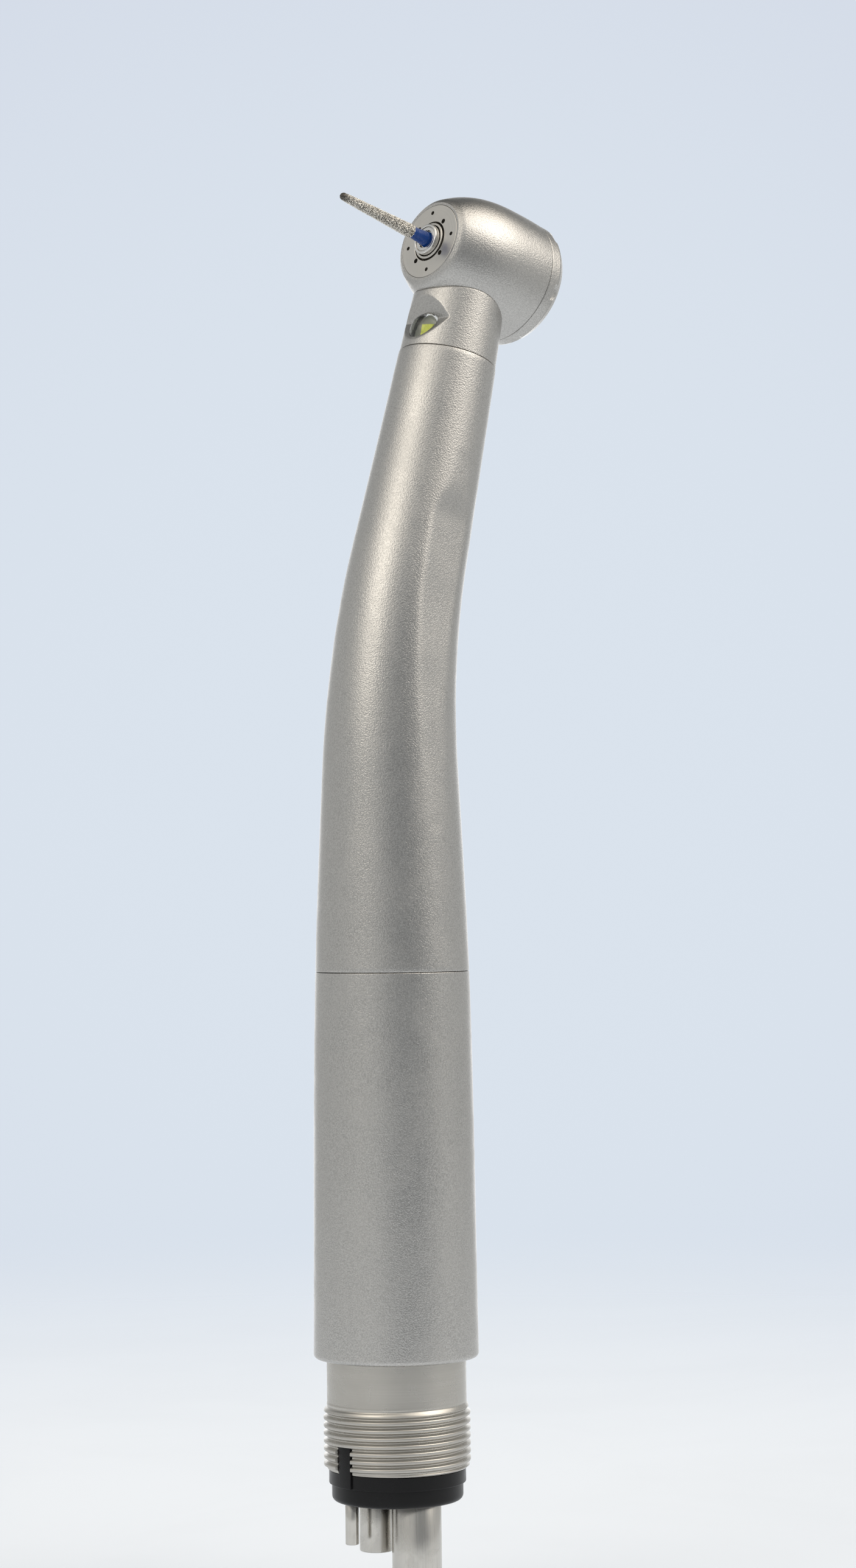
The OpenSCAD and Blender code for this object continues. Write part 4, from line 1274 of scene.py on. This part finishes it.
def grit_tree():
    """Sets crystals all over a bur's head, sunk in its bond."""
    tree, given, out = new_tree(
        "Diamond grit", "GeometryNodeTree",
        {"Geometry": (GEOMETRY, None), "Size": (FLOAT, 0.000125),
         "Spacing": (FLOAT, 0.00009), "Density": (FLOAT, 4.0e8),
         "Worn from": (FLOAT, 0.0155), "Worn over": (FLOAT, 0.0009),
         "Seed": (WHOLE, 7), "Bond": (MATERIAL, None),
         "Crystal": (MATERIAL, None)},
        {"Geometry": (GEOMETRY, None)})
    points = put(tree, "GeometryNodeDistributePointsOnFaces", {
        "Mesh": given["Geometry"], "Distance Min": given["Spacing"],
        "Density Max": given["Density"], "Seed": given["Seed"]},
        distribute_method="POISSON")
    position = put(tree, "GeometryNodeInputPosition").outputs[0]
    height = put(tree, "ShaderNodeSeparateXYZ", {0: position}).outputs[2]
    worn_to = calc(tree, "ADD", given["Worn from"], given["Worn over"])
    worn = spread(tree, height, given["Worn from"], worn_to, 1.0, 0.35)
    chance = put(tree, "FunctionNodeRandomValue", {
        2: 0.65, 3: 1.15, "Seed": given["Seed"]}, data_type="FLOAT").outputs[1]
    scale = calc(tree, "MULTIPLY", calc(tree, "MULTIPLY", chance, worn), given["Size"])
    turn = put(tree, "FunctionNodeRandomValue", {
        0: (0.0, 0.0, 0.0), 1: (6.283, 6.283, 6.283), "Seed": given["Seed"]},
        data_type="FLOAT_VECTOR").outputs[0]
    crystal = put(tree, "GeometryNodeMeshIcoSphere", {"Radius": 0.5, "Subdivisions": 1})
    squashed = put(tree, "GeometryNodeTransform", {
        "Geometry": crystal.outputs[0], "Scale": (1.0, 0.8, 0.72)}).outputs[0]
    coat = put(tree, "GeometryNodeSetMaterial", {
        "Geometry": squashed, "Material": given["Crystal"]}).outputs[0]
    placed = put(tree, "GeometryNodeInstanceOnPoints", {
        "Points": points.outputs["Points"], "Instance": coat, "Rotation": turn,
        "Scale": put(tree, "ShaderNodeCombineXYZ", {0: scale, 1: scale, 2: scale}).outputs[0]})
    base = put(tree, "GeometryNodeSetMaterial", {
        "Geometry": given["Geometry"], "Material": given["Bond"]}).outputs[0]
    joined = tree.nodes.new("GeometryNodeJoinGeometry")
    for part in (placed.outputs[0], base):
        tree.links.new(part, joined.inputs[0])
    real = put(tree, "GeometryNodeRealizeInstances", {"Geometry": joined.outputs[0]})
    tree.links.new(real.outputs[0], out["Geometry"])
    return tree


def bur_handle(size, neck_h, coat_h):
    """The bur's ground shank and its painted neck."""
    shank = turned("bur_shank_ground", rounded([
        (0, BUR_TIP_H - BUR_L), (size.shank_r, BUR_TIP_H - BUR_L, 0.2),
        (size.shank_r, neck_h), (0, neck_h)], closed=False), 96, HEAD)
    settle(shank, "shank", "bur", ["bur_shank"], sharp=35)
    neck = turned("bur_neck_painted", rounded([
        (0, neck_h + 0.001), (0.76, neck_h + 0.001, 0.05), (0.68, neck_h + 0.25, 0.3),
        (0.56, coat_h - 0.45, 0.6), (0.55, coat_h + 0.02), (0, coat_h + 0.02)],
        steps=6, closed=False), 96, HEAD)
    settle(neck, "blue", "bur", ["bur_neck"], sharp=35)


def coat_outline(size, coat_h):
    """The bond under the grit, as (r, h): a slim cone with a round tip."""
    grit, rows = size.grit_size, 40
    back, front = size.coat_r - grit * 0.56, size.tip_r - grit * 0.2
    tip = BUR_TIP_H - grit * 0.18
    start, cone_l = coat_h + 0.12, tip - front - coat_h - 0.12
    cone = [(back + (front - back) * i / rows, start + cone_l * i / rows)
            for i in range(rows)]
    arc = [(front * math.cos(math.radians(a)), tip - front + front * math.sin(math.radians(a)))
           for a in range(0, 90, 9)]
    return [(0, coat_h), (0.5, coat_h), (back - 0.03, coat_h + 0.03), *cone, *arc, (0, tip)]


def make_bur():
    """The bur: ground shank, blue neck, and a tapered head coated with diamond grit."""
    size = sizes()
    coat_h = BUR_TIP_H - size.coat_l
    bur_handle(size, size.face_h + 0.3, coat_h)
    head = turned("bur_head_coated", coat_outline(size, coat_h), 72)
    with_nodes(head, grit_tree(), {
        "Size": size.grit_size * MM, "Spacing": size.grit_size * 0.6 * MM,
        "Worn from": (BUR_TIP_H - 1.1) * MM, "Seed": int(size.grit_seed),
        "Bond": finish_named("bond"), "Crystal": finish_named("crystal")})
    placed_in(head, HEAD)
    head.data.set_sharp_from_angle(angle=math.radians(25))
    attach(head, "bur")
    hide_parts("bur_head")
    return head


# ---- inner parts ----

INNER_FINISHES = {
    "rubber": ["connector_o_ring", "body_seam_o_ring", "front_o_ring", "rear_o_ring"],
    "aluminium": ["line_manifold", "seam_junction", "generator_case", "rotor_impeller"],
    "tube": ["drive_air_line", "water_line", "chip_air_line"],
    "red": ["led_wires"],
    "copper": ["generator_coil"],
    "magnet": ["generator_magnet"],
    "bronze": ["generator_bearings"],
    "polished": ["generator_shaft"],
    "phosphor": ["led_chip"],
    "board": ["led_board"],
    "bearing": ["button_spring", "release_plunger", "chuck_collet", "chuck_push_pin",
                "front_inner_ring", "front_outer_ring", "rear_inner_ring",
                "rear_outer_ring", "wave_washer"],
    "ceramic": ["front_balls", "rear_balls", "generator_impeller"],
    "resin": ["front_ball_cage", "rear_ball_cage"]}


def finish_inner_parts():
    """Gives the parts inside the handpiece, kept as they are, their finishes."""
    for finish, names in INNER_FINISHES.items():
        for name in names:
            node = frame["nodes"][name]
            node.data.materials.clear()
            node.data.materials.append(finish_named(finish))


# ---- stage ----

CAMERA_TURN = math.radians(-42.36)
CAMERA_RISE = math.radians(-1.70)
CAMERA_ROLL = math.radians(-0.63)
CAMERA_AWAY = 318.4
CAMERA_AIM = Vector((1.49, -3.41, 63.97))
CAMERA_LENS = 81.53
SENSOR_W = 36.0
FLOOR_Z = -10.6
FLOOR_RINGS = (20, 60, 120, 200, 300, 420)


def toward_camera():
    """The way from the aim point to the camera."""
    return Vector((math.sin(CAMERA_TURN) * math.cos(CAMERA_RISE),
                   -math.cos(CAMERA_TURN) * math.cos(CAMERA_RISE), math.sin(CAMERA_RISE)))


def make_camera():
    """The camera, at the working distance of a close view."""
    data = bpy.data.cameras.new("camera")
    data.lens, data.sensor_width = CAMERA_LENS, SENSOR_W
    data.clip_start, data.clip_end = 0.01, 20.0
    camera = link("camera", data)
    back = toward_camera()
    camera.location = (CAMERA_AIM + back * CAMERA_AWAY) * MM
    level = (-back).to_track_quat("-Z", "Y").to_matrix().to_4x4()
    turn = level @ Matrix.Rotation(CAMERA_ROLL, 4, "Z")
    camera.rotation_euler = turn.to_euler()
    bpy.context.scene.camera = camera


def soft_box(name, turn, rise, away, width, height, power, warmth=(1.0, 1.0, 1.0)):
    """An area light that faces the object from a direction given from the camera's."""
    data = bpy.data.lights.new(name, "AREA")
    data.shape, data.size, data.size_y = "RECTANGLE", width * MM, height * MM
    data.energy, data.color = power, warmth
    lamp = link(name, data)
    way = way_at(turn, rise)
    lamp.location = (CAMERA_AIM + way * away) * MM
    lamp.rotation_euler = way.to_track_quat("Z", "Y").to_euler()
    return lamp


# The light that the metal sees: the room's own, and its soft bright and dark sides, each
# with its direction from the camera's azimuth, its rise and its reach in degrees
ROOM = (0.59, 0.595, 0.59, 1.0)
LOBES = (
    ("ADD", 76, 50, 42, (2.15, 1.97, 1.74, 1.0)),
    ("ADD", -52, 52, 42, (0.88, 0.80, 0.69, 1.0)),
    ("ADD", 180, 0, 30, (1.25, 1.27, 1.30, 1.0)),
    ("SUBTRACT", 24, -6, 50, (0.28, 0.275, 0.262, 1.0)),
    ("SUBTRACT", -178, 64, 58, (0.46, 0.46, 0.455, 1.0)),
)


def way_at(turn, rise):
    """A direction given by its turn from the camera's azimuth and its rise, in degrees."""
    a, e = CAMERA_TURN + math.radians(turn), math.radians(rise)
    return Vector((math.sin(a) * math.cos(e), -math.cos(a) * math.cos(e), math.sin(e)))


def toward(tree, way, direction):
    """How nearly a direction points along another, as a cosine."""
    return put(tree, "ShaderNodeVectorMath", {0: way, 1: direction},
               operation="DOT_PRODUCT").outputs["Value"]


def make_world():
    """A pale studio for the camera, with painted shade behind the object, and soft bright and
    dark sides for the metal.
    """
    world = bpy.data.worlds.new("studio")
    bpy.context.scene.world = world
    world.use_nodes = True
    tree = world.node_tree
    tree.nodes.clear()
    way = put(tree, "ShaderNodeTexCoord").outputs["Generated"]
    # The camera sees a painted background, darker in the middle behind the object as painted
    # shade
    centre = spread(tree, toward(tree, way, toward_camera()), -1.0, -0.955)
    seen = blend_tints(tree, centre, colour("backdrop"), colour("backdrop_shaded_middle"))
    room = ROOM
    for change, turn, rise, reach, rgba in LOBES:
        near = spread(tree, toward(tree, way, way_at(turn, rise)),
                      math.cos(math.radians(reach)), 1.0)
        room = blend_tints(tree, near, room, rgba, change)
    shown = put(tree, "ShaderNodeBackground", {"Color": seen, "Strength": 1.0})
    lit = put(tree, "ShaderNodeBackground", {"Color": room, "Strength": 1.0})
    direct = put(tree, "ShaderNodeLightPath").outputs["Is Camera Ray"]
    either = put(tree, "ShaderNodeMixShader", {
        0: direct, 1: lit.outputs[0], 2: shown.outputs[0]})
    out = tree.nodes.new("ShaderNodeOutputWorld")
    tree.links.new(either.outputs[0], out.inputs["Surface"])


def make_floor():
    """A pale floor disc that fades out, so that no horizon shows, with a faint painted glow."""
    fade_from, fade_to = 30.0, FLOOR_RINGS[-1] * 0.9
    angles = [math.tau * i / 96 for i in range(96)]
    rings = [[(0, 0, FLOOR_Z)], *(circle_points(angles, r, FLOOR_Z) for r in FLOOR_RINGS)]
    floor = skin("studio_floor", rings)
    if floor.data.polygons[0].normal.z < 0:
        floor.data.flip_normals()
    material, tree, shader = new_material("Pale floor")
    vector = local_vector(tree, HANDLE)
    away = group_node(tree, "Round vector", {"Vector": vector})["Radius"]
    faint = group_node(tree, "Handling", {"Vector": vector, "Size": 60.0, "Amount": 1.0})
    rgba = colour("floor")
    tree.links.new(blend_tints(tree, faint["Mask"], rgba, darker(rgba, 0.97)),
                   shader.inputs["Base Color"])
    tree.links.new(spread(tree, away, fade_from, fade_to, 1.0, 0.0), shader.inputs["Alpha"])
    shader.inputs["Roughness"].default_value = 0.8
    # The floor's colour is also sent out as a faint emission: painted light that keeps it as
    # pale as the background
    shader.inputs["Emission Color"].default_value = rgba
    shader.inputs["Emission Strength"].default_value = 0.13
    floor.data.materials.append(material)


def make_stage():
    """Camera, lights, studio surroundings and floor."""
    make_camera()
    make_world()
    make_floor()
    soft_box("key_left", -47, 30, 420, 200, 170, 0.13, (1.0, 0.93, 0.82))
    soft_box("fill_right", 70, 40, 460, 200, 200, 0.09, (1.0, 0.95, 0.88))
    bpy.context.scene.view_settings.view_transform = "Standard"


# ---- add-on ----


class HANDPIECE_OT_build_stage(bpy.types.Operator):
    """Camera, soft lights, pale surroundings and floor."""

    bl_idname = "handpiece.build_stage"
    bl_label = "Studio"

    def execute(self, context):
        make_stage()
        return {"FINISHED"}


class HANDPIECE_OT_build_connector(bpy.types.Operator):
    """The threaded neck of the hose connector."""

    bl_idname = "handpiece.build_connector"
    bl_label = "Threaded connector"

    def execute(self, context):
        make_connector()
        return {"FINISHED"}


class HANDPIECE_OT_build_seat(bpy.types.Operator):
    """The black seat that holds the tubes."""

    bl_idname = "handpiece.build_seat"
    bl_label = "Tube seat"

    def execute(self, context):
        make_seat()
        return {"FINISHED"}


class HANDPIECE_OT_build_tubes(bpy.types.Operator):
    """The four tubes for air and water."""

    bl_idname = "handpiece.build_tubes"
    bl_label = "Hose tubes"

    def execute(self, context):
        make_tubes()
        return {"FINISHED"}


class HANDPIECE_OT_build_rear_shell(bpy.types.Operator):
    """The straight rear body shell."""

    bl_idname = "handpiece.build_rear_shell"
    bl_label = "Rear shell"

    def execute(self, context):
        make_rear_shell()
        return {"FINISHED"}


class HANDPIECE_OT_build_front_shell(bpy.types.Operator):
    """The tapered and bent front body shell."""

    bl_idname = "handpiece.build_front_shell"
    bl_label = "Front shell"

    def execute(self, context):
        make_front_shell()
        return {"FINISHED"}


class HANDPIECE_OT_build_collar(bpy.types.Operator):
    """The collar with the recess for the light."""

    bl_idname = "handpiece.build_collar"
    bl_label = "Light collar"

    def execute(self, context):
        make_collar()
        return {"FINISHED"}


class HANDPIECE_OT_build_lens(bpy.types.Operator):
    """The clear dome over the light."""

    bl_idname = "handpiece.build_lens"
    bl_label = "Light lens"

    def execute(self, context):
        make_lens()
        return {"FINISHED"}


class HANDPIECE_OT_build_head(bpy.types.Operator):
    """The drum that holds the turbine."""

    bl_idname = "handpiece.build_head"
    bl_label = "Head"

    def execute(self, context):
        make_head()
        return {"FINISHED"}


class HANDPIECE_OT_build_face_plate(bpy.types.Operator):
    """The insert of the face, with its spray holes."""

    bl_idname = "handpiece.build_face_plate"
    bl_label = "Face plate"

    def execute(self, context):
        make_face_plate()
        return {"FINISHED"}


class HANDPIECE_OT_build_nose(bpy.types.Operator):
    """The fixed ring and the turning nose of the chuck."""

    bl_idname = "handpiece.build_nose"
    bl_label = "Chuck nose"

    def execute(self, context):
        make_nose()
        return {"FINISHED"}


class HANDPIECE_OT_build_cap(bpy.types.Operator):
    """The notched cap on the back of the head."""

    bl_idname = "handpiece.build_cap"
    bl_label = "Back cap"

    def execute(self, context):
        make_cap()
        return {"FINISHED"}


class HANDPIECE_OT_build_button(bpy.types.Operator):
    """The button that frees the bur."""

    bl_idname = "handpiece.build_button"
    bl_label = "Push button"

    def execute(self, context):
        make_button()
        return {"FINISHED"}


class HANDPIECE_OT_build_bur(bpy.types.Operator):
    """The shank, the blue neck and the diamond head."""

    bl_idname = "handpiece.build_bur"
    bl_label = "Bur"

    def execute(self, context):
        make_bur()
        return {"FINISHED"}


class HANDPIECE_OT_finish_inner(bpy.types.Operator):
    """Finishes of the parts kept inside."""

    bl_idname = "handpiece.finish_inner"
    bl_label = "Inner parts"

    def execute(self, context):
        finish_inner_parts()
        return {"FINISHED"}


OPERATORS = (
    HANDPIECE_OT_build_stage,
    HANDPIECE_OT_build_connector,
    HANDPIECE_OT_build_seat,
    HANDPIECE_OT_build_tubes,
    HANDPIECE_OT_build_rear_shell,
    HANDPIECE_OT_build_front_shell,
    HANDPIECE_OT_build_collar,
    HANDPIECE_OT_build_lens,
    HANDPIECE_OT_build_head,
    HANDPIECE_OT_build_face_plate,
    HANDPIECE_OT_build_nose,
    HANDPIECE_OT_build_cap,
    HANDPIECE_OT_build_button,
    HANDPIECE_OT_build_bur,
    HANDPIECE_OT_finish_inner,
)


class HANDPIECE_PT_pieces(bpy.types.Panel):
    """Lists the pieces, their sizes and their colours."""

    bl_idname = "HANDPIECE_PT_pieces"
    bl_label = "Handpiece"
    bl_space_type = "VIEW_3D"
    bl_region_type = "UI"
    bl_category = "Handpiece"

    def draw(self, context):
        for made in OPERATORS:
            self.layout.operator(made.bl_idname)
        for group in (context.scene.handpiece_sizes, context.scene.handpiece_colours):
            column = self.layout.column()
            for name in type(group).__annotations__:
                column.prop(group, name)


CLASSES = (HandpieceSizes, HandpieceColours, *OPERATORS, HANDPIECE_PT_pieces)


def register():
    """Registers the classes and puts the sizes and colours on the scene."""
    for made in CLASSES:
        bpy.utils.register_class(made)
    bpy.types.Scene.handpiece_sizes = bpy.props.PointerProperty(type=HandpieceSizes)
    bpy.types.Scene.handpiece_colours = bpy.props.PointerProperty(type=HandpieceColours)


def unregister():
    """Takes them away again."""
    del bpy.types.Scene.handpiece_colours
    del bpy.types.Scene.handpiece_sizes
    for made in reversed(CLASSES):
        bpy.utils.unregister_class(made)


def main():
    """Builds everything, piece by piece."""
    register()
    for made in OPERATORS:
        group, name = made.bl_idname.split(".")
        getattr(getattr(bpy.ops, group), name)()


if __name__ == "__main__":
    main()
